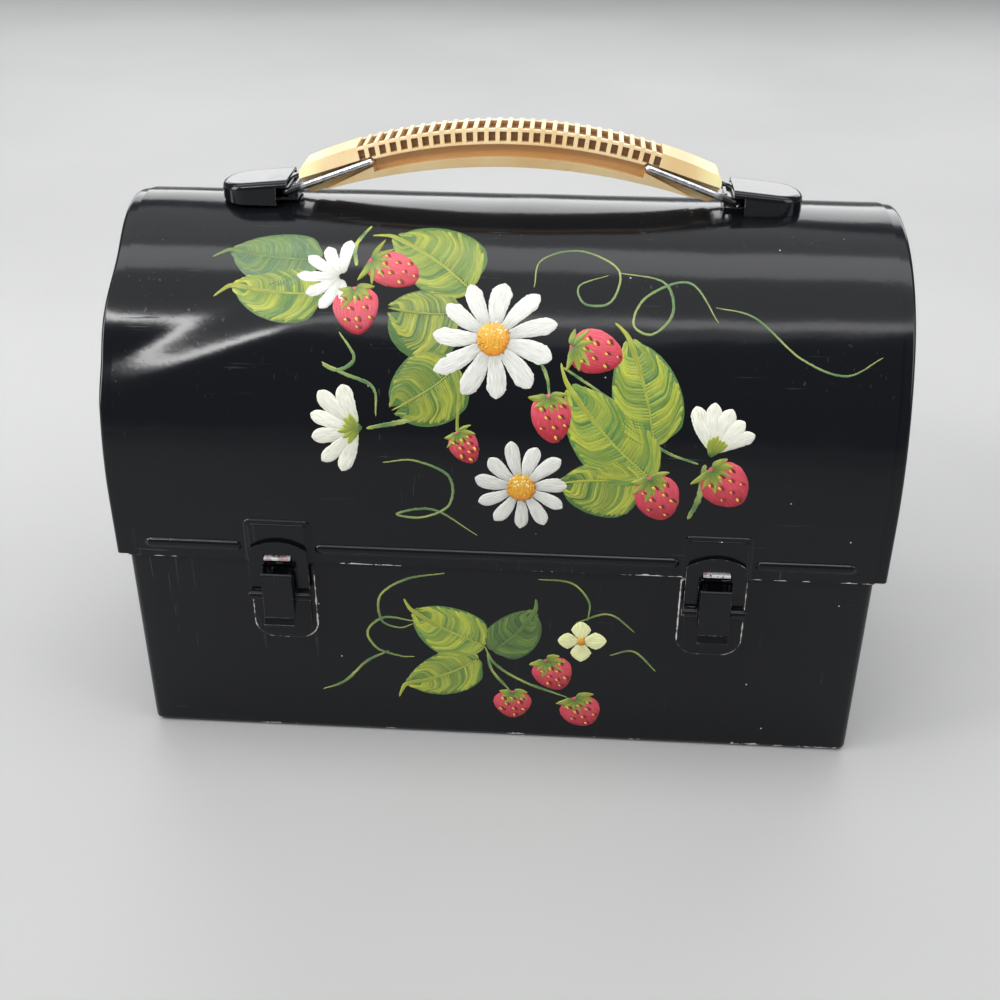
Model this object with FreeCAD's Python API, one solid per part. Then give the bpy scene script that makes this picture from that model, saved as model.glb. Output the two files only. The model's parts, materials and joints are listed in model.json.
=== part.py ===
"""Dome-top metal lunch box, modelled as the separate pieces it is made of.

Millimetres.  +X runs along the box to the right, +Y from the front to the back, +Z up.
The origin is the centre of the underside of the body.  Pieces that come in a left and a
right are built once at the middle (x = 0) or on the right, and then moved or mirrored.
"""
import FreeCAD, Part
import math
import os

V = FreeCAD.Vector
X_AXIS, Y_AXIS, Z_AXIS = V(1, 0, 0), V(0, 1, 0), V(0, 0, 1)

# ---- sheet metal ----
SHEET = 0.6                  # body and lid sheet
PLATE = 1.0                  # latch base, lid catch and lever plate
LINK_PLATE = 0.8             # latch link
HOOD_PLATE = 1.0             # handle hoods and their keepers
LEAF_PLATE = 0.9             # hinge leaves

# ---- lid: a vault of sheet between two pressed ends ----
LENGTH = 254.0               # over the lid's ends
DEPTH = 127.0                # over the lid's front and back
HEIGHT = 176.5               # top of the vault
LID_EDGE_Z = 72.5            # lower edge of the lid
LID_WALL = 21.0              # straight wall under the vault
CROWN_R = 57.0               # the vault's top arc
END_ROUND = 1.4              # rounded rim of a pressed end
END_FLANGE = 9.0             # how far an end's flange reaches into the vault
SEAM_INSET = 1.3             # from the end's face to the vault sheet's edge

# ---- body: an open pan that the lid fits over ----
OVERHANG_X = 3.5             # lid past the body at each end
OVERHANG_Y = 2.0             # lid past the body at front and back
RIM_Z = 76.0                 # top of the body, inside the lid
BODY_CORNER = 3.0            # upright corners
BODY_BOTTOM = 2.5            # bottom edges
HEM_WIDTH = 1.8              # rim folded inwards to this thickness
HEM_DEPTH = 3.5

# ---- ribs pressed into the lid's front ----
RIB_UP = 5.3                 # centre line above the lid's lower edge
RIB_R = 1.5
RIB_PROUD = 1.0
RIB_END_GAP = 11.0           # from the lid's end to the outer ribs
RIB_PAD_GAP = 1.8            # from an outer rib to its latch pad
RIB_MIDDLE_GAP = 1.6         # from the middle rib to a latch pad

# ---- latches ----
LATCH_X = 71.7               # centre of a latch from the middle of the box
PAD_HALF = 10.9              # pad pressed in the lid behind a latch
PAD_TOP = 15.7               # above the lid's lower edge
PAD_STEP = 0.6               # first step of the pad
PAD_INNER_STEP = 0.4         # second step
PAD_BORDER = 1.3             # between the two steps
PAD_CORNER = 1.8
BODY_PAD_HALF = 10.8         # pad pressed in the body
BODY_PAD_DROP = 32.0         # its lower edge, under the lid's lower edge
BODY_PAD_TOP_GAP = 2.0       # its upper edge, under the lid's lower edge
BODY_PAD_STEP = 0.5
BODY_PAD_CORNER = 6.6
BASE_BORDER = 1.7            # pad showing round the latch base
LEVER_HALF = 5.0
LEVER_PLATE = 0.9
LEVER_LENGTH = 19.0
LEVER_ABOVE_PIN = 4.0
LEVER_FRONT = 3.5            # from the lever's pin to its front face
LEVER_BACK = 2.1             # from the lever's pin to its flanges' back edge
LEVER_LIP = 1.4              # finger lip at the lever's foot
PIN_R = 0.9                  # lever pin and link pin
PIN_GAP = 0.05               # radial running clearance
PIN_HEAD = 0.5
EAR_PLATE = 0.9
EAR_R = 1.9
EAR_GAP = 0.4                # between an ear and the lever's flange
LEVER_PIN_DROP = 5.0         # lever pin below the lid's lower edge
LEVER_PIN_OUT = 3.5          # lever pin in front of the lid's face
PIN_SPACING = 6.5            # lever pin down to link pin
LINK_HALF = 9.85
LINK_ARM_GAP = 0.4           # between the lever and a link arm
LINK_WINDOW_HALF = 4.7
LINK_TO_PAD = 0.5            # between the link and the lid's pad
LINK_BAR_UP = 4.0            # lower edge of the bar, above the lid's lower edge
LINK_BAR_SIDE = 1.2          # height of the bar at its sides
LINK_BAR_MID = 4.7           # height of the bar in the middle
LINK_EYE_R = 1.7
WINDOW_STEP_GAP = 1.0        # window's narrow part starts this far over the lever
CATCH_GAP = 0.3              # catch below the bar
CATCH_HALF = 4.4
CATCH_OUT = 2.2              # catch past the link's front, less the plate
CATCH_LEG = 9.0
CATCH_SLOPE = 0.25           # fall of the catch's top face towards its tip
SLOT_GAP = 0.1               # round the catch where it passes through the lid

# ---- hinges at the back ----
HINGE_X = 70.0
HINGE_OUT = 0.4              # pin behind the lid's back face
HINGE_LENGTH = 50.0
KNUCKLE_R = 2.2
HINGE_PIN_R = 1.25
HINGE_GAP = 0.3              # between knuckles, and under the lid's edge
MIDDLE_KNUCKLE = 20.0
LEAF_DOWN = 24.0             # body leaf below the pin
LEAF_UP = 19.0               # lid leaf above the pin
LEAF_CORNER = 3.0

# ---- handle ----
GRIP_END_ANGLE = 24.0        # from the middle round the arch to an end, degrees
GRIP_END_ROUND = 3.0         # upper and lower corners of an end
GRIP_RISE = 25.5             # grip's top over the vault's top
GRIP_R = 170.0               # arch of the grip's top
GRIP_UNDER_R = 205.0         # arch of its underside
GRIP_THICK = 12.0
GRIP_WIDTH = 17.0
GRIP_TOP_WIDTH = 12.4
GRIP_TOP_DROP = 4.5          # height of the sloping side under the top
CHANNEL_TOP = 4.7            # side channel, from the grip's top down
CHANNEL_BOTTOM = 8.8
CHANNEL_DEEP = 2.8
CHANNEL_HALF_ARC = 46.0      # half the channel's length
POCKET_COUNT = 28
POCKET_PITCH = 3.6
POCKET_LONG = 2.2
POCKET_DEEP = 2.2
TOP_POCKET_HALF = 4.7
RIB_STANDS = 0.5             # ribs over the grip's edges between the pockets
SIDE_POCKET_LOW = 4.0        # below the grip's top
SIDE_POCKET_HIGH = 1.2
WIRE_R = 1.2
WIRE_BEND = 2.6              # at the cross bar
WIRE_HOOK_BEND = 1.3         # where an end turns into the grip
WIRE_HALF_SPAN = 7.9         # wire legs from the middle plane
WIRE_HOLE_DEEP = 3.4         # wire's bent end, from the middle plane
BAIL_PIVOT_X = 44.3
BAIL_PIVOT_RISE = 14.0       # over the vault's top
BAR_X = 73.5                 # cross bar in the hood
BAR_RISE = 3.2               # over the vault's top
HANDLE_LIFT = 3.0            # travel of the handle
SLOT_CLEAR = 0.4             # round the wire in the grip's slot
SLOT_FLARE = 1.4             # extra room over the wire at the grip's end

HOOD_MOUTH_X = 72.3
HOOD_LENGTH = 22.9
HOOD_HALF = 9.4
HOOD_MOUTH_RISE = 7.4        # top over the vault's top at the mouth
HOOD_NOSE_RISE = 5.2
HOOD_EDGE = 2.2
HOOD_SIDE_CUT = 3.6          # side walls start this far in from the mouth
KEEPER_HALF = 4.0
KEEPER_GAP = 0.4             # keeper tongue to the lifted cross bar
KEEPER_RISE = 5.2
KEEPER_LENGTH = 20.0
RIVET_X = 84.0
RIVET_R = 1.6
RIVET_HEAD_R = 3.2
RIVET_HEAD = 1.1

# ---- sizes that follow ----
FRONT_Y = -DEPTH / 2
BACK_Y = DEPTH / 2
WALL_TOP_Z = LID_EDGE_Z + LID_WALL
_rise = HEIGHT - WALL_TOP_Z - CROWN_R
FLANK_R = (DEPTH ** 2 / 4 + _rise ** 2 - CROWN_R ** 2) / (DEPTH - 2 * CROWN_R)
BODY_LENGTH = LENGTH - 2 * OVERHANG_X
BODY_DEPTH = DEPTH - 2 * OVERHANG_Y
BODY_FRONT_Y = -BODY_DEPTH / 2
PAD_FACE_Y = FRONT_Y - PAD_STEP - PAD_INNER_STEP
BASE_FACE_Y = BODY_FRONT_Y - BODY_PAD_STEP - PLATE
LEVER_PIN = (FRONT_Y - LEVER_PIN_OUT, LID_EDGE_Z - LEVER_PIN_DROP)
LINK_BACK_Y = PAD_FACE_Y - LINK_TO_PAD
LINK_PIN = (LINK_BACK_Y - LINK_EYE_R, LEVER_PIN[1] - PIN_SPACING)
BAR_LOW_Z = LID_EDGE_Z + LINK_BAR_UP
HINGE_PIN = (BACK_Y + HINGE_OUT, LID_EDGE_Z - KNUCKLE_R - HINGE_GAP)
GRIP_CENTRE_Z = HEIGHT + GRIP_RISE - GRIP_R
BAIL_PIVOT_Z = HEIGHT + BAIL_PIVOT_RISE
BAR_Z = HEIGHT + BAR_RISE
BAIL_LENGTH = math.hypot(BAR_X - BAIL_PIVOT_X, BAIL_PIVOT_Z - BAR_Z)
BAIL_ANGLE = math.asin((BAIL_PIVOT_Z - BAR_Z) / BAIL_LENGTH)
BAIL_LIFTED = math.asin((BAIL_PIVOT_Z + HANDLE_LIFT - BAR_Z) / BAIL_LENGTH)


# ---- helpers ----
def box(x0, x1, y0, y1, z0, z1):
    return Part.makeBox(x1 - x0, y1 - y0, z1 - z0, V(x0, y0, z0))


def rod(start, end, radius):
    """Round bar from one point to another."""
    run = end - start
    return Part.makeCylinder(radius, run.Length, start, run)


def x_rod(x0, x1, at, radius):
    """Round bar along X through at = (y, z)."""
    return rod(V(x0, *at), V(x1, *at), radius)


def prism(points, run):
    """Straight-sided outline pushed along a vector."""
    wire = Part.makePolygon(points + [points[0]])
    return Part.Face(wire).extrude(run)


def mirrored(shape):
    """The same piece on the other side of the box."""
    return shape.mirror(V(0, 0, 0), X_AXIS)


def moved(shape, x):
    copy = shape.copy()
    copy.translate(V(x, 0, 0))
    return copy


def joined(*shapes):
    return shapes[0].fuse(list(shapes[1:])).removeSplitter()


def export(shape, node):
    shape.exportStep(f"parts/{node}.step")


def export_pair(shape, node):
    """A right-hand piece and its mirror image."""
    export(shape, f"{node}_right")
    export(mirrored(shape), f"{node}_left")


# ---- the vault's section, used by everything that lies on or in the lid ----
def vault(inset, x0, x1, low=LID_EDGE_Z):
    """The solid under the vault, smaller all round by inset, between x0 and x1."""
    half = DEPTH / 2 - inset
    flank_r, crown_r = FLANK_R - inset, CROWN_R - inset
    flank_y = FLANK_R - DEPTH / 2
    crown_z = HEIGHT - CROWN_R
    turn = math.atan2(crown_z - WALL_TOP_Z, flank_y)

    def on_flank(angle):
        return V(x0, flank_y - flank_r * math.cos(angle), WALL_TOP_Z + flank_r * math.sin(angle))

    def back(point):
        return V(point.x, -point.y, point.z)

    foot, shoulder = V(x0, -half, low), on_flank(turn)
    edges = [
        Part.LineSegment(foot, on_flank(0)),
        Part.Arc(on_flank(0), on_flank(turn / 2), shoulder),
        Part.Arc(shoulder, V(x0, 0, crown_z + crown_r), back(shoulder)),
        Part.Arc(back(shoulder), back(on_flank(turn / 2)), back(on_flank(0))),
        Part.LineSegment(back(on_flank(0)), back(foot)),
        Part.LineSegment(back(foot), foot),
    ]
    wire = Part.Wire([edge.toShape() for edge in edges])
    return Part.Face(wire).extrude(V(x1 - x0, 0, 0))


def pad_block(half, z0, z1, y0, y1, corner, at_top):
    """Plate across the front with two rounded corners, at its top or at its foot."""
    block = box(-half, half, y0, y1, z0, z1)
    corner_z = z1 if at_top else z0
    edges = [e for e in block.Edges if abs(e.CenterOfMass.z - corner_z) < 1e-6
             and abs(abs(e.CenterOfMass.x) - half) < 1e-6]
    return block.makeFillet(corner, edges)


# ---- lid ----
def rib_spans():
    """Where the three ribs run: outside the latches and between them."""
    outer_end = LENGTH / 2 - RIB_END_GAP
    outer_start = LATCH_X + PAD_HALF + RIB_PAD_GAP
    middle = LATCH_X - PAD_HALF - RIB_MIDDLE_GAP
    return [(-outer_end, -outer_start), (-middle, middle), (outer_start, outer_end)]


def rib(x0, x1, radius):
    """Round-ended rib of the given radius on the lid's front wall."""
    at = (FRONT_Y - RIB_PROUD + RIB_R, LID_EDGE_Z + RIB_UP)
    bar = x_rod(x0 + RIB_R, x1 - RIB_R, at, radius)
    ends = [Part.makeSphere(radius, V(x, *at)) for x in (x0 + RIB_R, x1 - RIB_R)]
    return joined(bar, *ends)


def lid_pad():
    """The stepped pad pressed in the lid behind one latch: outside, and the hollow behind it."""
    top = LID_EDGE_Z + PAD_TOP
    inner_half, inner_top = PAD_HALF - PAD_BORDER, top - PAD_BORDER
    inside_y = FRONT_Y + SHEET
    outside = joined(
        pad_block(PAD_HALF, LID_EDGE_Z, top, FRONT_Y - PAD_STEP, inside_y, PAD_CORNER, True),
        pad_block(inner_half, LID_EDGE_Z, inner_top, PAD_FACE_Y, inside_y, PAD_CORNER / 2, True))
    low = LID_EDGE_Z - 1
    hollow = joined(
        box(SHEET - PAD_HALF, PAD_HALF - SHEET, inside_y - PAD_STEP, inside_y + 1, low, top - SHEET),
        box(SHEET - inner_half, inner_half - SHEET, inside_y - PAD_STEP - PAD_INNER_STEP, inside_y + 1,
            low, inner_top - SHEET))
    return outside, hollow


def catch_slot():
    """Slot through the lid's pad for the catch."""
    half = CATCH_HALF + SLOT_GAP
    top = BAR_LOW_Z - CATCH_GAP + SLOT_GAP
    return box(-half, half, PAD_FACE_Y - 1, FRONT_Y + SHEET + 1, top - PLATE - 2 * SLOT_GAP, top)


def build_lid_shell():
    end = LENGTH / 2 - SEAM_INSET
    hollow = vault(SHEET, -end - 1, end + 1, LID_EDGE_Z - 1)
    pad, pad_hollow = lid_pad()
    solid = vault(0, -end, end)
    solid = solid.fuse([rib(a, b, RIB_R) for a, b in rib_spans()]
                       + [moved(pad, x) for x in (-LATCH_X, LATCH_X)])
    shell = solid.cut([hollow] + [rib(a, b, RIB_R - SHEET) for a, b in rib_spans()]
                      + [moved(pad_hollow, x) for x in (-LATCH_X, LATCH_X)]
                      + [moved(catch_slot(), x) for x in (-LATCH_X, LATCH_X)]
                      + [moved(rivet_hole(), x) for x in (-RIVET_X, RIVET_X)])
    return shell.removeSplitter()


def pressed_end(inset, face_x, rounding):
    """Vault section with its outer rim rounded."""
    block = vault(inset, LENGTH / 2 - END_FLANGE - (inset - SHEET), face_x)
    rim = [e for e in block.Edges if abs(e.CenterOfMass.x - face_x) < 1e-6
           and e.CenterOfMass.z > LID_EDGE_Z + 1e-3]
    return block.makeFillet(rounding, rim)


def build_lid_end():
    """Pressed end: a flat face with a rounded rim and a flange inside the vault sheet."""
    outside = pressed_end(SHEET, LENGTH / 2, END_ROUND)
    inside = pressed_end(2 * SHEET, LENGTH / 2 - SHEET, END_ROUND - SHEET)
    inside_low = inside.copy()
    inside_low.translate(V(0, 0, -1))
    return outside.cut([inside, inside_low]).removeSplitter()


def build_catch():
    """Angle strip: a leg inside the lid's pad and a tongue out through the slot."""
    top = BAR_LOW_Z - CATCH_GAP
    leg_y = FRONT_Y + SHEET - PAD_STEP - PAD_INNER_STEP
    tip_y = LINK_BACK_Y - LINK_PLATE - CATCH_OUT + PLATE
    leg = box(-CATCH_HALF, CATCH_HALF, leg_y, leg_y + PLATE, top - PLATE, top - PLATE + CATCH_LEG)
    fall = (leg_y - tip_y) * math.tan(CATCH_SLOPE)
    flat_y = LINK_BACK_Y + LINK_PLATE / 2
    tongue = prism([V(-CATCH_HALF, leg_y + PLATE, top), V(-CATCH_HALF, flat_y, top),
                    V(-CATCH_HALF, tip_y, top - fall / 2),
                    V(-CATCH_HALF, tip_y, top - fall / 2 - PLATE),
                    V(-CATCH_HALF, flat_y, top - PLATE), V(-CATCH_HALF, leg_y + PLATE, top - PLATE)],
                   V(2 * CATCH_HALF, 0, 0))
    return joined(leg, tongue)


# ---- body ----
def rounded_pan(inset, low, top):
    """Block with rounded upright corners and bottom edges, smaller all round by inset."""
    half_x, half_y = BODY_LENGTH / 2 - inset, BODY_DEPTH / 2 - inset
    block = box(-half_x, half_x, -half_y, half_y, low, top)
    upright = [e for e in block.Edges if abs(e.tangentAt(e.FirstParameter).z) > 0.9]
    block = block.makeFillet(BODY_CORNER - inset, upright)
    if inset > SHEET:
        return block
    bottom = [e for e in block.Edges if abs(e.BoundBox.ZMax - low) < 1e-6]
    return block.makeFillet(BODY_BOTTOM - inset, bottom)


def body_pad():
    """The pad pressed in the body behind one latch base: outside, and the hollow behind it."""
    low, top = LID_EDGE_Z - BODY_PAD_DROP, LID_EDGE_Z - BODY_PAD_TOP_GAP
    inside_y = BODY_FRONT_Y + SHEET
    outside = pad_block(BODY_PAD_HALF, low, top, BODY_FRONT_Y - BODY_PAD_STEP, inside_y,
                        BODY_PAD_CORNER, False)
    hollow = pad_block(BODY_PAD_HALF - SHEET, low + SHEET, top - SHEET, inside_y - BODY_PAD_STEP,
                       inside_y + 1, BODY_PAD_CORNER - SHEET, False)
    return outside, hollow


def build_body_pan():
    pad, pad_hollow = body_pad()
    solid = rounded_pan(0, 0, RIM_Z).fuse([moved(pad, x) for x in (-LATCH_X, LATCH_X)])
    under_hem = rounded_pan(SHEET, SHEET, RIM_Z - HEM_DEPTH)
    through_hem = rounded_pan(HEM_WIDTH, RIM_Z - HEM_DEPTH - 1, RIM_Z + 1)
    return solid.cut([under_hem, through_hem]
                     + [moved(pad_hollow, x) for x in (-LATCH_X, LATCH_X)]).removeSplitter()


# ---- latch ----
def build_latch_base():
    """Plate on the body's pad with two ears that hold the lever's pin."""
    half = BODY_PAD_HALF - BASE_BORDER
    low = LID_EDGE_Z - BODY_PAD_DROP + BASE_BORDER
    top = LID_EDGE_Z - BODY_PAD_TOP_GAP - BASE_BORDER / 2
    plate = pad_block(half, low, top, BASE_FACE_Y, BASE_FACE_Y + PLATE, BODY_PAD_CORNER - BASE_BORDER,
                      False)
    pin_y, pin_z = LEVER_PIN
    x1 = LEVER_HALF - LEVER_PLATE - EAR_GAP
    x0 = x1 - EAR_PLATE
    web = prism([V(x0, BASE_FACE_Y, pin_z + EAR_R), V(x0, pin_y, pin_z + EAR_R),
                 V(x0, pin_y, pin_z - EAR_R), V(x0, BASE_FACE_Y, pin_z - 2.5 * EAR_R)],
                V(EAR_PLATE, 0, 0))
    ear = joined(web, x_rod(x0, x1, LEVER_PIN, EAR_R)).cut(x_rod(x0 - 1, x1 + 1, LEVER_PIN, PIN_R))
    return joined(plate, ear, mirrored(ear))


def build_lever():
    """Channel-shaped lever: a front plate with a finger lip, and two flanges with pin holes."""
    pin_y, pin_z = LEVER_PIN
    front = pin_y - LEVER_FRONT
    top = pin_z + LEVER_ABOVE_PIN
    foot = top - LEVER_LENGTH
    plate = box(-LEVER_HALF, LEVER_HALF, front, front + LEVER_PLATE, foot, top)
    top_edge = [e for e in plate.Edges if abs(e.CenterOfMass.z - top) < 1e-6
                and abs(e.CenterOfMass.y - front) < 1e-6]
    plate = plate.makeFillet(LEVER_PLATE * 0.9, top_edge)
    lip = prism([V(-LEVER_HALF, front + LEVER_PLATE, foot + 2), V(-LEVER_HALF, front, foot + 2),
                 V(-LEVER_HALF, front - LEVER_LIP, foot), V(-LEVER_HALF, front - LEVER_LIP, foot - 0.6),
                 V(-LEVER_HALF, front - LEVER_LIP + LEVER_PLATE, foot - 0.6),
                 V(-LEVER_HALF, front + LEVER_PLATE, foot)], V(2 * LEVER_HALF, 0, 0))
    back = pin_y + LEVER_BACK
    shoulder_z = LINK_PIN[1] - LINK_EYE_R - 1
    x0 = LEVER_HALF - LEVER_PLATE
    web = prism([V(x0, front + LEVER_PLATE / 2, pin_z), V(x0, back, pin_z), V(x0, back, shoulder_z),
                 V(x0, front + LEVER_PLATE / 2, foot + 2.5)], V(LEVER_PLATE, 0, 0))
    round_top = x_rod(x0, LEVER_HALF, LEVER_PIN, LEVER_BACK)
    bridge = box(x0, LEVER_HALF, front + LEVER_PLATE / 2, pin_y, pin_z, pin_z + LEVER_BACK)
    flange = joined(web, round_top, bridge)
    lever = joined(plate, lip, flange, mirrored(flange))
    holes = [x_rod(-LEVER_HALF - 1, LEVER_HALF + 1, LEVER_PIN, PIN_R + PIN_GAP),
             x_rod(-LEVER_HALF - 1, LEVER_HALF + 1, LINK_PIN, PIN_R)]
    return lever.cut(holes).removeSplitter()


def build_lever_pin():
    """Pin through the base's ears and the lever's flanges, held in the ears."""
    return x_rod(-LEVER_HALF, LEVER_HALF, LEVER_PIN, PIN_R)


def build_link_pin():
    """Pin through the lever's flanges and the link's eyes, with a head outside each eye."""
    half = LINK_HALF + PIN_GAP
    heads = [x_rod(s * half, s * (half + PIN_HEAD), LINK_PIN, PIN_R * 1.5) for s in (-1, 1)]
    return joined(x_rod(-half, half, LINK_PIN, PIN_R), *heads)


def build_link():
    """Flat loop with an arched bar at the top and a rolled eye at the foot of each arm."""
    y0, y1 = LINK_BACK_Y - LINK_PLATE, LINK_BACK_Y
    foot = LINK_PIN[1]
    side_top, mid_top = BAR_LOW_Z + LINK_BAR_SIDE, BAR_LOW_Z + LINK_BAR_MID
    corners = [V(-LINK_HALF, y0, side_top), V(-LINK_HALF, y0, foot), V(LINK_HALF, y0, foot),
               V(LINK_HALF, y0, side_top)]
    edges = [Part.LineSegment(a, b).toShape() for a, b in zip(corners, corners[1:])]
    arch = Part.Arc(corners[3], V(0, y0, mid_top), corners[0]).toShape()
    plate = Part.Face(Part.Wire(edges + [arch])).extrude(V(0, LINK_PLATE, 0))
    arm = LEVER_HALF + LINK_ARM_GAP
    step_z = LEVER_PIN[1] + LEVER_ABOVE_PIN + WINDOW_STEP_GAP
    lever_slot = box(-arm, arm, y0 - 1, y1 + 1, foot - LINK_EYE_R - 1, step_z)
    window = box(-LINK_WINDOW_HALF, LINK_WINDOW_HALF, y0 - 1, y1 + 1, step_z - 1, BAR_LOW_Z)
    eyes = [x_rod(a, b, LINK_PIN, LINK_EYE_R) for a, b in ((-LINK_HALF, -arm), (arm, LINK_HALF))]
    link = plate.cut([lever_slot, window]).fuse(eyes)
    hole = x_rod(-LINK_HALF - 1, LINK_HALF + 1, LINK_PIN, PIN_R + PIN_GAP)
    return link.cut(hole).removeSplitter()


# ---- hinge ----
def rounded_leaf(y0, z0, z1, round_top):
    """Leaf plate with two rounded corners away from the pin."""
    plate = pad_block(HINGE_LENGTH / 2, z0, z1, y0, y0 + LEAF_PLATE, LEAF_CORNER, round_top)
    return plate


def knuckle(x0, x1):
    return x_rod(x0, x1, HINGE_PIN, KNUCKLE_R)


def build_body_leaf():
    """Leaf on the body's back with the two outer knuckles."""
    pin_y, pin_z = HINGE_PIN
    half, gap = HINGE_LENGTH / 2, MIDDLE_KNUCKLE / 2 + HINGE_GAP
    bend_z = pin_z - KNUCKLE_R
    plate = rounded_leaf(BODY_DEPTH / 2, pin_z - LEAF_DOWN, bend_z, False)
    pieces = [plate]
    for x0, x1 in ((-half, -gap), (gap, half)):
        pieces.append(box(x0, x1, BODY_DEPTH / 2, pin_y, bend_z, bend_z + LEAF_PLATE))
        pieces.append(knuckle(x0, x1))
    hole = x_rod(-half - 1, half + 1, HINGE_PIN, HINGE_PIN_R)
    return joined(*pieces).cut(hole)


def build_lid_leaf():
    """Leaf on the lid's back with the middle knuckle."""
    half = MIDDLE_KNUCKLE / 2
    pin_y, pin_z = HINGE_PIN
    low = LID_EDGE_Z + HINGE_GAP
    plate = rounded_leaf(BACK_Y, low, pin_z + LEAF_UP, True)
    tail = box(-half, half, pin_y, pin_y + LEAF_PLATE, pin_z, low + 1)
    hole = x_rod(-half - 1, half + 1, HINGE_PIN, HINGE_PIN_R + PIN_GAP)
    return joined(plate, tail, knuckle(-half, half)).cut(hole)


def build_hinge_pin():
    return x_rod(-HINGE_LENGTH / 2, HINGE_LENGTH / 2, HINGE_PIN, HINGE_PIN_R)


# ---- handle hoods ----
def hood_block(inset):
    """Hood outline with a round nose and a falling top, smaller all round by inset."""
    x0, half = HOOD_MOUTH_X - inset, HOOD_HALF - inset
    shoulder = HOOD_MOUTH_X + HOOD_LENGTH - HOOD_HALF
    low, top = HEIGHT - 10, HEIGHT + HOOD_MOUTH_RISE + 5
    sides = [Part.LineSegment(V(shoulder, -half, low), V(x0, -half, low)),
             Part.LineSegment(V(x0, -half, low), V(x0, half, low)),
             Part.LineSegment(V(x0, half, low), V(shoulder, half, low)),
             Part.Arc(V(shoulder, half, low), V(shoulder + half, 0, low), V(shoulder, -half, low))]
    block = Part.Face(Part.Wire([s.toShape() for s in sides])).extrude(V(0, 0, top - low))
    fall = (HOOD_MOUTH_RISE - HOOD_NOSE_RISE) / HOOD_LENGTH

    def roof_z(x):
        return HEIGHT + HOOD_MOUTH_RISE - inset - fall * (x - HOOD_MOUTH_X)

    near, far = HOOD_MOUTH_X - 5, HOOD_MOUTH_X + HOOD_LENGTH + 5
    above = prism([V(near, -20, roof_z(near)), V(far, -20, roof_z(far)), V(far, -20, top + 1),
                   V(near, -20, top + 1)], V(0, 40, 0))
    block = block.cut(above)
    roof = max(block.Faces, key=lambda f: f.CenterOfMass.z)
    edges = [e for e in roof.Edges if e.CenterOfMass.x > x0 + 1e-3]
    return block.makeFillet(HOOD_EDGE - inset, edges)


def build_hood():
    cut_x = HOOD_MOUTH_X + HOOD_SIDE_CUT
    lip_z = HEIGHT + HOOD_MOUTH_RISE - HOOD_EDGE
    mouth = box(HOOD_MOUTH_X - 1, cut_x, -20, 20, HEIGHT - 20, lip_z)
    lid = vault(0, HOOD_MOUTH_X - 5, LENGTH / 2)
    return hood_block(0).cut([hood_block(HOOD_PLATE), mouth, lid]).removeSplitter()


def rivet_hole():
    return rod(V(0, 0, HEIGHT - 10), V(0, 0, HEIGHT + 10), RIVET_R)


def build_keeper():
    """Strip riveted under the hood; its upturned tongue keeps the wire's cross bar in."""
    bar_lifted = BAIL_PIVOT_X + BAIL_LENGTH * math.cos(BAIL_LIFTED)
    face_x = bar_lifted - WIRE_R - KEEPER_GAP
    strip = box(face_x - HOOD_PLATE, face_x - HOOD_PLATE + KEEPER_LENGTH, -KEEPER_HALF - 1, KEEPER_HALF + 1,
                HEIGHT - 5, HEIGHT + HOOD_PLATE)
    tongue = box(face_x - HOOD_PLATE, face_x, -KEEPER_HALF, KEEPER_HALF, HEIGHT - 5, HEIGHT + KEEPER_RISE)
    lid = vault(0, HOOD_MOUTH_X - 20, LENGTH / 2)
    return joined(strip, tongue).cut([lid, moved(rivet_hole(), RIVET_X)])


def build_rivets():
    """One rivet under each hood, through the keeper and the lid."""
    inside_z = HEIGHT - SHEET
    top = HEIGHT + HOOD_PLATE
    shank = rod(V(0, 0, inside_z - 0.5), V(0, 0, top + 0.5), RIVET_R)
    head = rod(V(0, 0, top), V(0, 0, top + RIVET_HEAD), RIVET_HEAD_R)
    tail = rod(V(0, 0, inside_z - RIVET_HEAD - 0.1), V(0, 0, inside_z - 0.1), RIVET_HEAD_R)
    rivet = joined(shank, head, tail)
    return Part.makeCompound([moved(rivet, x) for x in (-RIVET_X, RIVET_X)])


# ---- grip and its wires ----
def arch_piece(half_width_in, half_width_out, r_in, r_out, start=-90, turn=180):
    """Ring-shaped bar about the arch's centre; its width changes evenly from r_in to r_out."""
    def at(radius, y):
        return V(0, y, GRIP_CENTRE_Z + radius)
    outline = [at(r_in, -half_width_in), at(r_out, -half_width_out), at(r_out, half_width_out),
               at(r_in, half_width_in)]
    face = Part.Face(Part.makePolygon(outline + [outline[0]]))
    face.rotate(V(0, 0, GRIP_CENTRE_Z), Y_AXIS, start)
    return face.revolve(V(0, 0, GRIP_CENTRE_Z), Y_AXIS, turn)


def grip_pockets():
    """Rows of pockets along the top and both sides, with the edges between them cut down a little."""
    top_r = GRIP_R
    slope = (GRIP_WIDTH - GRIP_TOP_WIDTH) / 2 / GRIP_TOP_DROP
    side_mid = GRIP_TOP_WIDTH / 2 + slope * (SIDE_POCKET_HIGH + SIDE_POCKET_LOW) / 2
    floor_y = side_mid - POCKET_DEEP
    pockets = []
    for i in range(POCKET_COUNT):
        angle = math.degrees((i - (POCKET_COUNT - 1) / 2) * POCKET_PITCH / GRIP_R)
        x = POCKET_LONG / 2
        z = GRIP_CENTRE_Z + top_r
        group = [box(-x, x, -TOP_POCKET_HALF, TOP_POCKET_HALF, z - POCKET_DEEP, z + 1),
                 box(-x, x, -GRIP_WIDTH, GRIP_WIDTH, z - RIB_STANDS, z + 1)]
        for side in (-1, 1):
            y0, y1 = sorted((side * floor_y, side * GRIP_WIDTH))
            group.append(box(-x, x, y0, y1, z - SIDE_POCKET_LOW, z - SIDE_POCKET_HIGH))
        for pocket in group:
            pocket.rotate(V(0, 0, GRIP_CENTRE_Z), Y_AXIS, angle)
            pockets.append(pocket)
    return pockets


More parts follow.
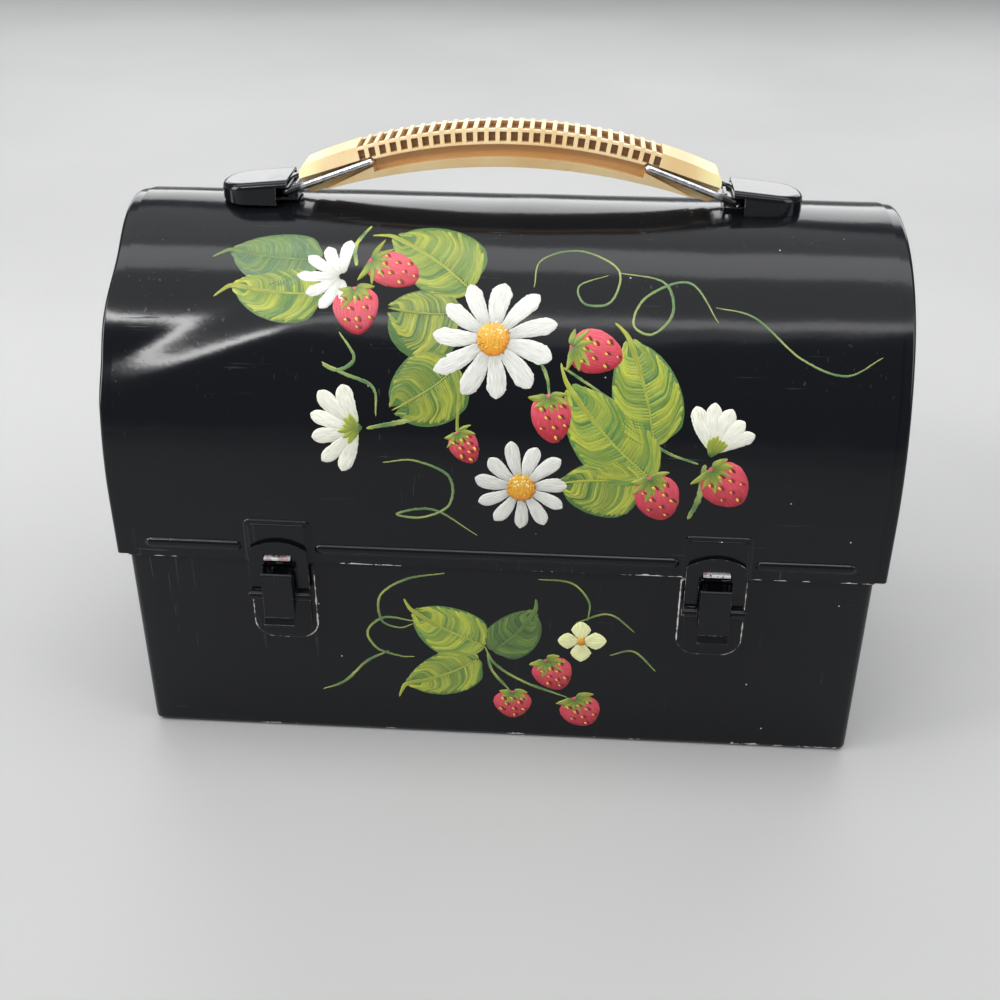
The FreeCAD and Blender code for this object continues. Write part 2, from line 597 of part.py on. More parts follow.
def wire_slot():
    """Room for a wire leg in the grip's right end, wide enough for the leg to swing."""
    room = WIRE_R + SLOT_CLEAR
    reach = BAIL_LENGTH + 5

    def leg_point(angle, along, off):
        """Point along the leg, off to its upper side."""
        return V(BAIL_PIVOT_X + along * math.cos(angle) + off * math.sin(angle), 0,
                 BAIL_PIVOT_Z - along * math.sin(angle) + off * math.cos(angle))

    outline = [leg_point(BAIL_ANGLE, 0, room), leg_point(BAIL_ANGLE, reach, room + SLOT_FLARE),
               leg_point(BAIL_LIFTED, reach, -room), leg_point(BAIL_LIFTED, 0, -room)]
    floor_y = WIRE_HALF_SPAN - WIRE_R - SLOT_CLEAR / 2
    slots = []
    for side in (-1, 1):
        face = Part.Face(Part.makePolygon(outline + [outline[0]]))
        face.translate(V(0, side * floor_y, 0))
        slots.append(face.extrude(V(0, side * GRIP_WIDTH, 0)))
        eye = rod(V(BAIL_PIVOT_X, side * floor_y, BAIL_PIVOT_Z),
                  V(BAIL_PIVOT_X, side * GRIP_WIDTH, BAIL_PIVOT_Z), room)
        slots.append(eye)
    hole = rod(V(BAIL_PIVOT_X, -GRIP_WIDTH, BAIL_PIVOT_Z), V(BAIL_PIVOT_X, GRIP_WIDTH, BAIL_PIVOT_Z),
               WIRE_R + PIN_GAP)
    solid_middle = box(0, LENGTH, -WIRE_HOLE_DEEP + 0.3, WIRE_HOLE_DEEP - 0.3, 0, 2 * HEIGHT)
    return slots + [hole.cut(solid_middle)]


def build_grip():
    r_low = GRIP_R - GRIP_THICK
    r_slope = GRIP_R - GRIP_TOP_DROP
    half = GRIP_WIDTH / 2
    ends = (-GRIP_END_ANGLE, 2 * GRIP_END_ANGLE)
    lower = arch_piece(half, half, r_low - 4, r_slope, *ends)
    upper = arch_piece(half, GRIP_TOP_WIDTH / 2, r_slope, GRIP_R, *ends)
    under_z = HEIGHT + GRIP_RISE - GRIP_THICK - GRIP_UNDER_R
    under = rod(V(0, -GRIP_WIDTH, under_z), V(0, GRIP_WIDTH, under_z), GRIP_UNDER_R)
    grip = joined(lower, upper).cut(under)
    end_corners = [e for e in grip.Edges if e.BoundBox.XLength < 1e-3 and e.BoundBox.ZLength < 1e-3
                   and abs(e.CenterOfMass.y) < 1e-3 and abs(e.CenterOfMass.x) > GRIP_R / 3]
    grip = grip.makeFillet(GRIP_END_ROUND, end_corners)
    span = math.degrees(CHANNEL_HALF_ARC / GRIP_R)
    channel = arch_piece(GRIP_WIDTH, GRIP_WIDTH, GRIP_R - CHANNEL_BOTTOM, GRIP_R - CHANNEL_TOP, -span,
                         2 * span)
    web = arch_piece(half - CHANNEL_DEEP, half - CHANNEL_DEEP, r_low, GRIP_R)
    slots = wire_slot()
    return grip.cut([channel.cut(web)] + grip_pockets() + slots + [mirrored(s) for s in slots])


def build_bail():
    """Wire loop: two legs beside the grip, their ends bent into it, and a cross bar."""
    span, deep, length = WIRE_HALF_SPAN, WIRE_HOLE_DEEP, BAIL_LENGTH
    corners = [V(0, deep, 0), V(0, span, 0), V(length, span, 0), V(length, -span, 0), V(0, -span, 0),
               V(0, -deep, 0)]
    bends = [WIRE_HOOK_BEND, WIRE_BEND, WIRE_BEND, WIRE_HOOK_BEND]
    edges, start = [], corners[0]
    for before, corner, after, bend in zip(corners, corners[1:], corners[2:], bends):
        leave = (before - corner).normalize()
        enter = (after - corner).normalize()
        a, b = corner + leave * bend, corner + enter * bend
        mid = corner + (leave + enter) * bend * (1 - math.sqrt(0.5))
        edges += [Part.LineSegment(start, a).toShape(), Part.Arc(a, mid, b).toShape()]
        start = b
    edges.append(Part.LineSegment(start, corners[-1]).toShape())
    section = Part.Wire(Part.Circle(corners[0], Y_AXIS, WIRE_R).toShape())
    bail = Part.Wire(edges).makePipeShell([section], True, True)
    bail.rotate(V(0, 0, 0), Y_AXIS, math.degrees(BAIL_ANGLE))
    bail.translate(V(BAIL_PIVOT_X, 0, BAIL_PIVOT_Z))
    return bail


def main():
    os.makedirs("parts", exist_ok=True)
    export(build_body_pan(), "body_pan")
    export(build_lid_shell(), "lid_shell")
    export(build_grip(), "handle_grip")
    export(build_rivets(), "handle_rivets")
    export_pair(build_lid_end(), "lid_end")
    export_pair(build_hood(), "handle_hood")
    export_pair(build_keeper(), "hood_keeper")
    export_pair(build_bail(), "handle_bail")
    for piece, node in ((build_catch(), "lid_catch"), (build_latch_base(), "latch_base"),
                        (build_lever(), "latch_lever"), (build_lever_pin(), "lever_pin"),
                        (build_link(), "latch_link"), (build_link_pin(), "link_pin")):
        export_pair(moved(piece, LATCH_X), node)
    for piece, node in ((build_body_leaf(), "hinge_body_leaf"), (build_lid_leaf(), "hinge_lid_leaf"),
                        (build_hinge_pin(), "hinge_pin")):
        export_pair(moved(piece, HINGE_X), node)


main()
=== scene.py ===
"""Painted dome-top lunch box: enamelled tin, painted flowers, moulded grip, wires and latches."""
from functools import cache
import json
import math

import bmesh
import bpy
import numpy as np
from mathutils import Matrix, Vector

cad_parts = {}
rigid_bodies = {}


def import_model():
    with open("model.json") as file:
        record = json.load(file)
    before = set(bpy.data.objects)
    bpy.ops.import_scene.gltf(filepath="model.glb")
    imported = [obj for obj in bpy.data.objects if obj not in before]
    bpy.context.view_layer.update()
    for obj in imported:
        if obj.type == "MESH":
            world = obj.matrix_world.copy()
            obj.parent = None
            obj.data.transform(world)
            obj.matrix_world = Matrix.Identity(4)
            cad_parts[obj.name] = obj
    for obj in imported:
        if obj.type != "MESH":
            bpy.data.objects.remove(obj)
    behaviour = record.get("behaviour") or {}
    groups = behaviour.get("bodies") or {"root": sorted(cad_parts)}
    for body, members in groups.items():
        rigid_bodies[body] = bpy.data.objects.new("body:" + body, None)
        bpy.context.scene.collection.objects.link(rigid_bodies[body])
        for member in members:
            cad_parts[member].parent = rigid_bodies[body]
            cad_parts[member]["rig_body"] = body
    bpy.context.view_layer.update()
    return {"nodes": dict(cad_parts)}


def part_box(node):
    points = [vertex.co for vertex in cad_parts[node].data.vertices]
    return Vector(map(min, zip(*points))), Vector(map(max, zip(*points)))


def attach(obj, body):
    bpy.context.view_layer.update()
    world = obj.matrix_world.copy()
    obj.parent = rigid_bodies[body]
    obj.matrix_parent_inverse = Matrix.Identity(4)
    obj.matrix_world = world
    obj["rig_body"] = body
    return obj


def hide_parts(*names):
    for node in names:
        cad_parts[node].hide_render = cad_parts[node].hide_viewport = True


bl_info = {
    "name": "Painted lunch box",
    "version": (1, 0, 0),
    "blender": (4, 5, 0),
    "location": "3D View > Sidebar > Lunch box",
    "description": "Builds the enamel, the painted flowers and the handle round the packed frame",
    "category": "Object",
}

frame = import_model()
MM = 0.001
SIDES = (("left", -1), ("right", 1))
CREASE = math.radians(62)
FULL_TURN = 2 * math.pi


def box_mm(node):
    """Low and high corners of a frame node, in millimetres."""
    return [[float(value) / MM for value in corner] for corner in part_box(node)]


# The frame's own sizes, in millimetres.
(_, _, LID_EDGE), (SEAM_X, LID_HALF_Y, LID_TOP) = box_mm("lid_shell")
LID_DEPTH = 2 * LID_HALF_Y
LID_LENGTH = 2 * box_mm("lid_end_right")[1][0]
BODY_HALF_X, BODY_HALF_Y, RIM_Z = box_mm("body_pan")[1]
LATCH_X = sum(corner[0] for corner in box_mm("latch_base_right")) / 2


def size(label, about, default):
    """A length in millimetres."""
    return bpy.props.FloatProperty(name=label, description=about + " (mm)", default=default)


def colour(label, about, default):
    return bpy.props.FloatVectorProperty(name=label, description=about, subtype="COLOR", size=3,
                                         default=default)


def turned(label, about, degrees):
    return bpy.props.FloatProperty(name=label, description=about, unit="ROTATION",
                                   default=math.radians(degrees))


class LUNCHBOX_PG_tin(bpy.types.PropertyGroup):
    """Sizes of the sheet metal."""
    sheet: size("Sheet", "Sheet thickness", 0.6)
    lid_wall: size("Lid wall", "Straight wall under the vault", 21.0)
    crown_radius: size("Crown radius", "Top arc of the vault", 57.0)
    end_round: size("End round", "Rounded rim of the lid's ends", 1.4)
    body_corner: size("Body corner", "Upright corners of the body", 3.0)
    body_foot: size("Body foot", "Rounded bottom edges of the body", 2.5)
    rib_up: size("Rib height", "Ribs above the lid's lower edge", 5.3)
    rib_radius: size("Rib radius", "Half a rib's width", 1.5)
    rib_proud: size("Rib relief", "How far a rib stands out", 0.95)
    dent_depth: size("Dent", "Depth of the knock at the lid's left end", 2.0)
    crease_depth: size("Crease", "Depth of the step above the crease at the left end", 2.7)
    wave_depth: size("Waves", "Unevenness of the sheet", 0.16)


class LUNCHBOX_PG_paint(bpy.types.PropertyGroup):
    """Colours of the enamel and of the painted flowers."""
    enamel: colour("Enamel", "Black enamel", (0.0045, 0.005, 0.0065))
    enamel_roughness: bpy.props.FloatProperty(
        name="Enamel roughness", description="Roughness of clean enamel", default=0.13, subtype="FACTOR")
    undercoat: colour("Undercoat", "Pale metal that shows in chips", (0.52, 0.52, 0.50))
    white: colour("Petal white", "Petals", (0.74, 0.74, 0.69))
    red: colour("Berry red", "Strawberries", (0.60, 0.020, 0.045))
    lime: colour("Lime", "Light strokes of the leaves", (0.42, 0.46, 0.05))
    green: colour("Leaf green", "Dark strokes of the leaves", (0.055, 0.125, 0.026))
    yellow: colour("Yellow", "Flower centres and seeds", (0.85, 0.48, 0.035))
    relief: size("Relief", "Thickness of a brush stroke", 0.10)


class LUNCHBOX_PG_grip(bpy.types.PropertyGroup):
    """Sizes and colours of the moulded grip."""
    arch_radius: size("Arch", "Radius of the grip's top", 170.0)
    wire_radius: size("Wire", "Radius of the bails' wire", 1.2)
    plastic: colour("Plastic", "Moulded plastic", (0.60, 0.46, 0.255))
    # Painted shade: darker colour laid into the grip's pockets, where shade falls.
    plastic_shade: colour("Pocket shade", "Darker plastic in the recesses", (0.36, 0.20, 0.09))
    plastic_channel: colour("Channel", "Shaded plastic in the side channels", (0.60, 0.29, 0.09))
    # Painted shade: darker, more orange colour laid into the grip's side channels, where shade falls.
    plastic_end: colour("Faded ends", "Plastic at the grip's ends", (0.70, 0.64, 0.33))


class LUNCHBOX_PG_stage(bpy.types.PropertyGroup):
    """Camera and light."""
    camera_place: bpy.props.FloatVectorProperty(
        name="Camera place", description="Where the camera stands", subtype="TRANSLATION", unit="LENGTH",
        size=3, default=(0.0234, -0.4196, 0.3078))
    camera_yaw: turned("Yaw", "Turn of the camera to the right", -3.55)
    camera_pitch: turned("Pitch", "Tilt of the camera downwards", 30.33)
    camera_roll: turned("Roll", "Roll of the camera", -0.30)
    lens: size("Lens", "Focal length on a 36 mm sensor", 46.8)
    world_light: bpy.props.FloatProperty(name="Room light", description="Strength of the even light",
                                         default=0.20)


# ------------------------------------------------------------------ mesh helpers
def settings(name):
    return getattr(bpy.context.scene, "lunchbox_" + name)


def linked(name, data):
    """New object with this data, in the scene."""
    obj = bpy.data.objects.new(name, data)
    bpy.context.scene.collection.objects.link(obj)
    return obj


def read(collection, field, width, dtype=float):
    """Values of one field of a mesh's elements, width of them for each element."""
    values = np.zeros(len(collection) * width, dtype)
    collection.foreach_get(field, values)
    return values.reshape(-1, width) if width > 1 else values


def add_fields(mesh, fields):
    """Store numbers per vertex as named attributes."""
    for name, values in fields.items():
        mesh.attributes.new(name, "FLOAT", "POINT").data.foreach_set("value", np.asarray(values, float))


def mesh_object(name, vertices, faces, uv=None, colours=None, fields=None):
    """New mesh object from points in millimetres; uv, colours and other fields are given per vertex."""
    mesh = bpy.data.meshes.new(name)
    mesh.from_pydata((np.asarray(vertices, float) * MM).tolist(), [], [tuple(map(int, f)) for f in faces])
    mesh.polygons.foreach_set("use_smooth", [True] * len(mesh.polygons))
    if uv is not None:
        loops = read(mesh.loops, "vertex_index", 1, int)
        mesh.uv_layers.new(name="UVMap").data.foreach_set("uv", np.asarray(uv, float)[loops].ravel())
    if colours is not None:
        values = np.ones((len(colours), 4))
        values[:, :3] = colours
        mesh.color_attributes.new("paint", "FLOAT_COLOR", "POINT").data.foreach_set("color", values.ravel())
    add_fields(mesh, fields or {})
    mesh.update()
    return linked(name, mesh)


def grid_faces(rows, columns, first=0, closed=False):
    """Quads of a grid, its vertices along the columns first; closed joins the last column to the first."""
    rr, cc = np.meshgrid(np.arange(rows - 1), np.arange(columns if closed else columns - 1), indexing="ij")
    r2, c2 = rr + 1, (cc + 1) % columns
    quads = np.stack([rr * columns + cc, rr * columns + c2, r2 * columns + c2, r2 * columns + cc], -1)
    return (quads.reshape(-1, 4) + first).tolist()


def turn_outwards(obj, reach=1e-7):
    """Merge doubles and make every face point outwards."""
    work = bmesh.new()
    work.from_mesh(obj.data)
    bmesh.ops.remove_doubles(work, verts=work.verts, dist=reach)
    bmesh.ops.recalc_face_normals(work, faces=work.faces)
    work.to_mesh(obj.data)
    work.free()
    obj.data.update()


def finished(obj, body, slot, materials, *nodes):
    """Give a piece its materials, its body and the frame nodes that it stands for; slot is not used."""
    for material in materials:
        obj.data.materials.append(material)
    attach(obj, body)
    if nodes:
        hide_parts(*nodes)


def baked(obj):
    """The object with its modifiers made part of its mesh."""
    graph = bpy.context.evaluated_depsgraph_get()
    graph.update()
    mesh = bpy.data.meshes.new_from_object(obj.evaluated_get(graph), depsgraph=graph)
    obj.modifiers.clear()
    old = obj.data
    obj.data = mesh
    if old.users == 0:
        bpy.data.meshes.remove(old)
    return obj


def removed(obj):
    mesh = obj.data
    bpy.data.objects.remove(obj)
    if mesh.users == 0:
        bpy.data.meshes.remove(mesh)


def smoothstep(value, low, high):
    t = np.clip((np.asarray(value, float) - low) / (high - low), 0, 1)
    return t * t * (3 - 2 * t)


def hump(distance, width):
    """Bell shape that is 1 where the distance is 0."""
    return np.exp(-(distance / width) ** 2)


def lines(low, high, step, zones=()):
    """Grid lines from low to high; zones are (low, high, step) with finer lines."""
    out = set(np.round(np.linspace(low, high, max(2, int(round((high - low) / step)) + 1)), 4))
    for zone_low, zone_high, fine in zones:
        count = max(2, int(round((zone_high - zone_low) / fine)) + 1)
        out = {v for v in out if not zone_low <= v <= zone_high or v in (low, high)}
        out |= set(np.round(np.linspace(zone_low, zone_high, count), 4))
    return np.array(sorted(v for v in out if low <= v <= high))


# ------------------------------------------------------------------ nodes and materials
def rgba(tone):
    return (*tuple(tone)[:3], 1.0)


class Nodes:
    """Short way to build a node tree."""

    def __init__(self, tree):
        self.tree = tree

    def feed(self, node, inputs):
        """Set or link a node's inputs, which are given by name or by number."""
        for key, value in inputs.items():
            if isinstance(value, bpy.types.NodeSocket):
                self.tree.links.new(value, node.inputs[key])
            else:
                node.inputs[key].default_value = value

    def add(self, kind, inputs=None, out=0, **fields):
        """A new node with its fields and inputs set: gives one output, or the node where out is None."""
        node = self.tree.nodes.new(kind)
        for key, value in fields.items():
            setattr(node, key, value)
        self.feed(node, inputs or {})
        return node if out is None else node.outputs[out]

    def math(self, operation, a, b=0.0):
        return self.add("ShaderNodeMath", {0: a, 1: b}, operation=operation)

    def times(self, a, b):
        return self.math("MULTIPLY", a, b)

    def plus(self, a, b):
        return self.math("ADD", a, b)

    def minus(self, a, b):
        return self.math("SUBTRACT", a, b)

    def xyz(self, **parts):
        """A vector from numbers named x, y and z."""
        return self.add("ShaderNodeCombineXYZ", {"xyz".index(axis): value for axis, value in parts.items()})


class Surface(Nodes):
    """A new material's nodes, with its shader and its object coordinates."""

    def __init__(self, name):
        self.material = bpy.data.materials.new(name)
        self.material.use_nodes = True
        super().__init__(self.material.node_tree)
        self.shader = self.tree.nodes["Principled BSDF"]
        self.place = self.add("ShaderNodeTexCoord", out="Object")

    def ramp(self, value, low, high, to_low=0.0, to_high=1.0):
        return self.add("ShaderNodeMapRange", {
            "Value": value, "From Min": low, "From Max": high, "To Min": to_low, "To Max": to_high},
            "Result", interpolation_type="SMOOTHSTEP")

    def noise(self, scale, detail=2.0, roughness=0.5, distortion=0.0, stretch=None, place=None):
        place = self.place if place is None else place
        if stretch:
            place = self.add("ShaderNodeMapping", {"Vector": place, "Scale": stretch})
        return self.add("ShaderNodeTexNoise", {"Vector": place, "Scale": scale, "Detail": detail,
                                               "Roughness": roughness, "Distortion": distortion})

    def spots(self, scale, detail, roughness, low, high):
        """Noise that is cut to patches between two of its levels."""
        return self.ramp(self.noise(scale, detail, roughness), low, high)

    def mix(self, factor, a, b, blend="MIX"):
        return self.add("ShaderNodeMix", {0: factor, 6: a, 7: b}, 2, data_type="RGBA", blend_type=blend)

    def attribute(self, name, out="Fac"):
        return self.add("ShaderNodeAttribute", out=out, attribute_name=name)

    def from_middle(self):
        """Distance from the object's middle along X."""
        return self.math("ABSOLUTE", self.add("ShaderNodeSeparateXYZ", {0: self.place}))

    def done(self, inputs, height=None, distance=0.0, strength=1.0):
        """Feed the shader, with a bump where a height is given, and return the material."""
        self.feed(self.shader, inputs)
        if height is not None:
            bump = self.add("ShaderNodeBump", {"Height": height, "Distance": distance, "Strength": strength})
            self.feed(self.shader, {"Normal": bump})
        return self.material


def enamel(name, wear_scale=1.0):
    """Glossy black enamel: orange peel, hair scratches, dust specks, and chips down to pale metal."""
    paint = settings("paint")
    kit = Surface(name)
    height = kit.plus(kit.times(kit.noise(420.0), 0.35), kit.noise(55.0))
    hairs = kit.math("MAXIMUM", kit.ramp(kit.noise(1.0, 1.0, stretch=(900, 900, 35)), 0.70, 0.76),
                     kit.ramp(kit.noise(1.0, 1.0, stretch=(40, 700, 900)), 0.71, 0.77))
    hairs = kit.times(hairs, kit.spots(38.0, 3.0, 0.6, 0.45, 0.70))
    cells = kit.add("ShaderNodeTexVoronoi", {"Vector": kit.place, "Scale": 150.0}, None, feature="F1")
    pick = kit.add("ShaderNodeSeparateColor", {0: cells.outputs["Color"]})
    specks = kit.times(kit.ramp(cells.outputs["Distance"], 0.055, 0.03), kit.ramp(pick, 0.88, 0.90))
    dull = kit.times(kit.ramp(kit.noise(22.0, 4.0, 0.65, 0.6), 0.50, 0.80), 0.10)
    rough = kit.plus(paint.enamel_roughness, kit.plus(dull, kit.times(hairs, 0.25)))
    base = kit.mix(kit.times(hairs, 0.07), rgba(paint.enamel), (0.35, 0.36, 0.38, 1))
    base = kit.mix(kit.times(specks, 0.75), base, rgba(paint.undercoat))
    edge = kit.attribute("wear")
    ragged = kit.times(kit.noise(260.0 * wear_scale, 3.0, 0.65), 0.75)
    worn = kit.plus(kit.plus(ragged, kit.times(kit.noise(30.0), 0.55)), kit.times(edge, 0.42))
    chips = kit.times(kit.ramp(worn, 1.03, 1.06), kit.ramp(edge, 0.02, 0.2))
    base = kit.mix(chips, base, rgba(paint.undercoat))
    rough = kit.plus(rough, kit.times(chips, 0.3))
    return kit.done({"Base Color": base, "Roughness": rough, "IOR": 1.35}, height, 0.00022, 0.22)


def steel(name, tone, roughness, soot_from=None):
    """Bare steel with drawing lines; soot_from is where black overspray starts, out along X (mm)."""
    kit = Surface(name)
    streaks = kit.noise(1.0, 3.0, 0.6, stretch=(90, 1400, 1400))
    base = kit.mix(kit.spots(240.0, 4.0, 0.65, 0.35, 0.75), rgba(tone), rgba([part * 0.55 for part in tone]))
    metal = 1.0
    if soot_from is not None:
        ragged = kit.plus(kit.from_middle(), kit.times(kit.noise(500.0, 3.0, 0.7), 0.006))
        soot = kit.ramp(ragged, (soot_from + 1.5) * MM, (soot_from + 4.5) * MM)
        base = kit.mix(soot, base, (0.010, 0.010, 0.012, 1))
        metal = kit.minus(1.0, soot)
    rough = kit.ramp(streaks, 0.2, 0.8, roughness - 0.06, roughness + 0.14)
    return kit.done({"Base Color": base, "Metallic": metal, "Roughness": rough}, streaks, 0.00006, 0.5)


def aged_plastic(name):
    """Aged moulded plastic: cloudy colour, painted shade in the pockets and side channels, handling shine."""
    grip = settings("grip")
    kit = Surface(name)
    cloud = kit.noise(45.0, 4.0, 0.55)
    dim = rgba([part * share for part, share in zip(grip.plastic, (0.90, 0.80, 0.62))])
    tone = kit.mix(kit.ramp(cloud, 0.35, 0.72), rgba(grip.plastic), dim)
    tone = kit.mix(kit.ramp(kit.from_middle(), 0.056, 0.068), tone, rgba(grip.plastic_end))
    # Painted shade: the side channels get a darker, more orange plastic, the deeper the darker.
    tone = kit.mix(kit.times(kit.attribute("channel_shade"), 0.75), tone, rgba(grip.plastic_channel))
    # Painted shade: the pockets between and beside the ribs get the darker brown plastic.
    tone = kit.mix(kit.attribute("recess_shade"), tone, rgba(grip.plastic_shade))
    grime = kit.spots(160.0, 4.0, 0.7, 0.58, 0.80)
    tone = kit.mix(kit.times(grime, 0.35), tone, (0.20, 0.10, 0.04, 1))
    return kit.done({"Base Color": tone, "Roughness": kit.ramp(cloud, 0.3, 0.7, 0.30, 0.44),
                     "Subsurface Weight": 0.12, "Subsurface Radius": (0.004, 0.002, 0.001),
                     "Subsurface Scale": 1.0}, kit.noise(900.0, 3.0, 0.6), 0.00012, 0.25)


def artists_paint(name):
    """Artist's paint: colour from the strokes, bristle streaks along them, satin surface."""
    kit = Surface(name)
    along = kit.add("ShaderNodeUVMap", uv_map="UVMap")
    bristles = kit.noise(1.0, 3.0, 0.6, stretch=(0.22, 6.5, 1.0), place=along)
    blotch = kit.noise(700.0, 3.0, 0.6)
    dark = kit.mix(kit.ramp(bristles, 0.30, 0.62), (0.52, 0.52, 0.50, 1), (1, 1, 1, 1))
    tone = kit.mix(0.85, kit.attribute("paint", "Color"), dark, "MULTIPLY")
    light = kit.times(kit.ramp(bristles, 0.58, 0.80), 0.35)
    tone = kit.mix(light, tone, (0.90, 0.88, 0.70, 1), "SCREEN")
    tone = kit.mix(kit.times(kit.ramp(blotch, 0.60, 0.85), 0.25), tone, (0.03, 0.03, 0.02, 1))
    return kit.done({"Base Color": tone, "Roughness": kit.ramp(bristles, 0.3, 0.7, 0.30, 0.46)},
                    kit.plus(bristles, kit.times(blotch, 0.3)), 0.00012, 0.6)


def lacquer(name):
    """Pale inside lacquer, blotched, with spots of rust."""
    kit = Surface(name)
    blotch = kit.noise(60.0, 4.0, 0.6)
    tone = kit.mix(kit.ramp(blotch, 0.35, 0.7), (0.50, 0.49, 0.44, 1), (0.40, 0.39, 0.34, 1))
    tone = kit.mix(kit.times(kit.spots(170.0, 4.0, 0.7, 0.70, 0.78), 0.7), tone, (0.16, 0.07, 0.03, 1))
    return kit.done({"Base Color": tone, "Roughness": kit.ramp(blotch, 0.3, 0.7, 0.35, 0.5)},
                    blotch, 0.0003, 0.3)


def worn_catch(name):
    """Enamel rubbed through to bare metal and pink primer."""
    kit = Surface(name)
    worn = kit.spots(420.0, 3.0, 0.65, 0.36, 0.44)
    bare = kit.mix(kit.spots(260.0, 2.0, 0.5, 0.5, 0.6), (0.72, 0.72, 0.72, 1), (0.50, 0.33, 0.34, 1))
    return kit.done({"Base Color": kit.mix(worn, (0.008, 0.008, 0.010, 1), bare),
                     "Metallic": kit.times(worn, 0.75), "Roughness": kit.ramp(worn, 0, 1, 0.15, 0.30)})


@cache
def finish(name):
    """A material that several pieces share, made once."""
    return {"enamel": lambda: enamel("Black enamel"),
            "small_enamel": lambda: enamel("Black enamel on small parts", 2.2),
            "lacquer": lambda: lacquer("Inside lacquer"),
            "catch": lambda: worn_catch("Worn catch"),
            "pin": lambda: steel("Pin steel", (0.45, 0.45, 0.46), 0.34),
            "wire": lambda: steel("Wire steel", (0.66, 0.67, 0.69), 0.22, soot_from=67.0),
            "plastic": lambda: aged_plastic("Moulded grip"),
            "brushed": lambda: artists_paint("Brushed paint")}[name]()


def tin_finishes():
    return finish("enamel"), finish("lacquer")


# ------------------------------------------------------------------ the lid's surface
def vault_section(s, inset=0.0):
    """Points (y, z) and outward normals of the lid's section at arc lengths s, in millimetres.

    s starts at the front lower edge, climbs over the crown and ends at the back lower edge.
    """
    tin = settings("tin")
    wall, crown = tin.lid_wall, tin.crown_radius
    wall_top, crown_z = LID_EDGE + wall, LID_TOP - crown
    rise = crown_z - wall_top
    flank = (LID_HALF_Y ** 2 + rise ** 2 - crown ** 2) / (LID_DEPTH - 2 * crown)
    flank_y = flank - LID_HALF_Y
    turn = math.atan2(rise, flank_y)
    flank_end = wall + flank * turn
    half = flank_end + crown * (math.pi / 2 - turn)
    s = np.asarray(s, float)
    behind = s > half
    t = np.where(behind, 2 * half - s, s)
    a = np.clip((t - wall) / flank, 0, turn)
    b = turn + np.clip((t - flank_end) / crown, 0, None)
    on_crown = t > flank_end
    angle = np.where(on_crown, b, a)
    y = np.where(on_crown, -(crown - inset) * np.cos(b), flank_y - (flank - inset) * np.cos(a))
    z = np.where(on_crown, crown_z + (crown - inset) * np.sin(b), wall_top + (flank - inset) * np.sin(a))
    z = np.where(t < wall, LID_EDGE + t, z)
    ny, nz = -np.cos(angle), np.sin(angle)
    mirror = np.where(behind, -1.0, 1.0)
    return y * mirror, z, ny * mirror, nz, half


def vault_half_length():
    return float(vault_section(np.array([0.0]))[4])


def lid_knocks(x, s):
    """Dents and waves of the lid's sheet, in millimetres, all of them inwards."""
    tin = settings("tin")
    x, s = np.broadcast_arrays(np.asarray(x, float), np.asarray(s, float))
    left = smoothstep(-x, 84, 122)
    knock = 0.12 * left * hump(s - 108, 24.0) * tin.dent_depth
    over_crease = s - (58 + (x + 125) * 0.40)
    fade = smoothstep(-x, 45, 105)
    crease = -tin.crease_depth * fade * smoothstep(over_crease, -5, 12) * (1 - smoothstep(s, 116, 146))
    waves = (np.sin(x * 0.043 + 1.3) * np.sin(s * 0.061 + 0.4) + 0.5 * np.sin(x * 0.10 + s * 0.07 + 2.0)
             + 0.3 * np.sin(x * 0.21 - s * 0.13))
    flat = smoothstep(s, 16, 40) * smoothstep(2 * vault_half_length() - s, 16, 40)
    near_hood = hump(np.abs(x) - 84, 22.0) * hump(s - vault_half_length(), 18.0)
    waves = tin.wave_depth * (0.9 - 0.5 * waves) * flat * (1 - near_hood)
    return -(knock + waves + 0.5 * fade - crease)


def end_push(x, s):
    """How far the left end is knocked in along X (mm)."""
    return settings("tin").dent_depth * hump(s - 104, 17.0) * smoothstep(-x, 96, 124)


def lid_point(x, s, off):
    """Point on the lid (mm): x along it, s up its front from the lower edge, off out from it."""
    x, s, off = np.broadcast_arrays(np.asarray(x, float), s, off)
    y, z, ny, nz, _ = vault_section(s)
    off = off + lid_knocks(x, s)
    return np.stack([x + end_push(x, s), y + ny * off, z + nz * off], -1)


def body_point(x, z, off):
    """Point on the body's front (mm): x along it, z up from the underside, off out from it."""
    x = np.asarray(x, float)
    return np.stack([x, -BODY_HALF_Y - off, np.asarray(z, float)], -1)


def rounded_box_distance(x, y, half_x, low, high, radius_low, radius_high):
    """Signed distance to an upright rectangle with its own radius at the foot and at the top."""
    middle, half_y = (low + high) / 2, (high - low) / 2
    radius = np.where(y < middle, radius_low, radius_high)
    qx = np.abs(x) - half_x + radius
    qy = np.abs(y - middle) - half_y + radius
    outside = np.hypot(np.maximum(qx, 0), np.maximum(qy, 0))
    return outside + np.minimum(np.maximum(qx, qy), 0) - radius


def pressed(distance, height, soft):
    """A pressed step: full height inside the outline, rounded over its edge."""
    return height * smoothstep(-distance, -soft, soft)


RIB_MIDDLE_END, RIB_OUTER_START, RIB_FROM_END = 59.2, 84.4, 11.0
PAD_HALF, PAD_TOP, PAD_BORDER = 10.9, 15.7, 1.3
PAD_STEPS = ((0.55, 0.28), (0.38, 0.2))
BELOW_EDGE = -9.0


def rib_spans():
    outer = LID_LENGTH / 2 - RIB_FROM_END
    return ((-outer, -RIB_OUTER_START), (-RIB_MIDDLE_END, RIB_MIDDLE_END), (RIB_OUTER_START, outer))


def lid_pad_distance(x, s, inset, corner):
    """Signed distance to a latch pad's outline, or to one smaller by inset."""
    return rounded_box_distance(x, s, PAD_HALF - inset, BELOW_EDGE, PAD_TOP - inset, 0.1, corner)


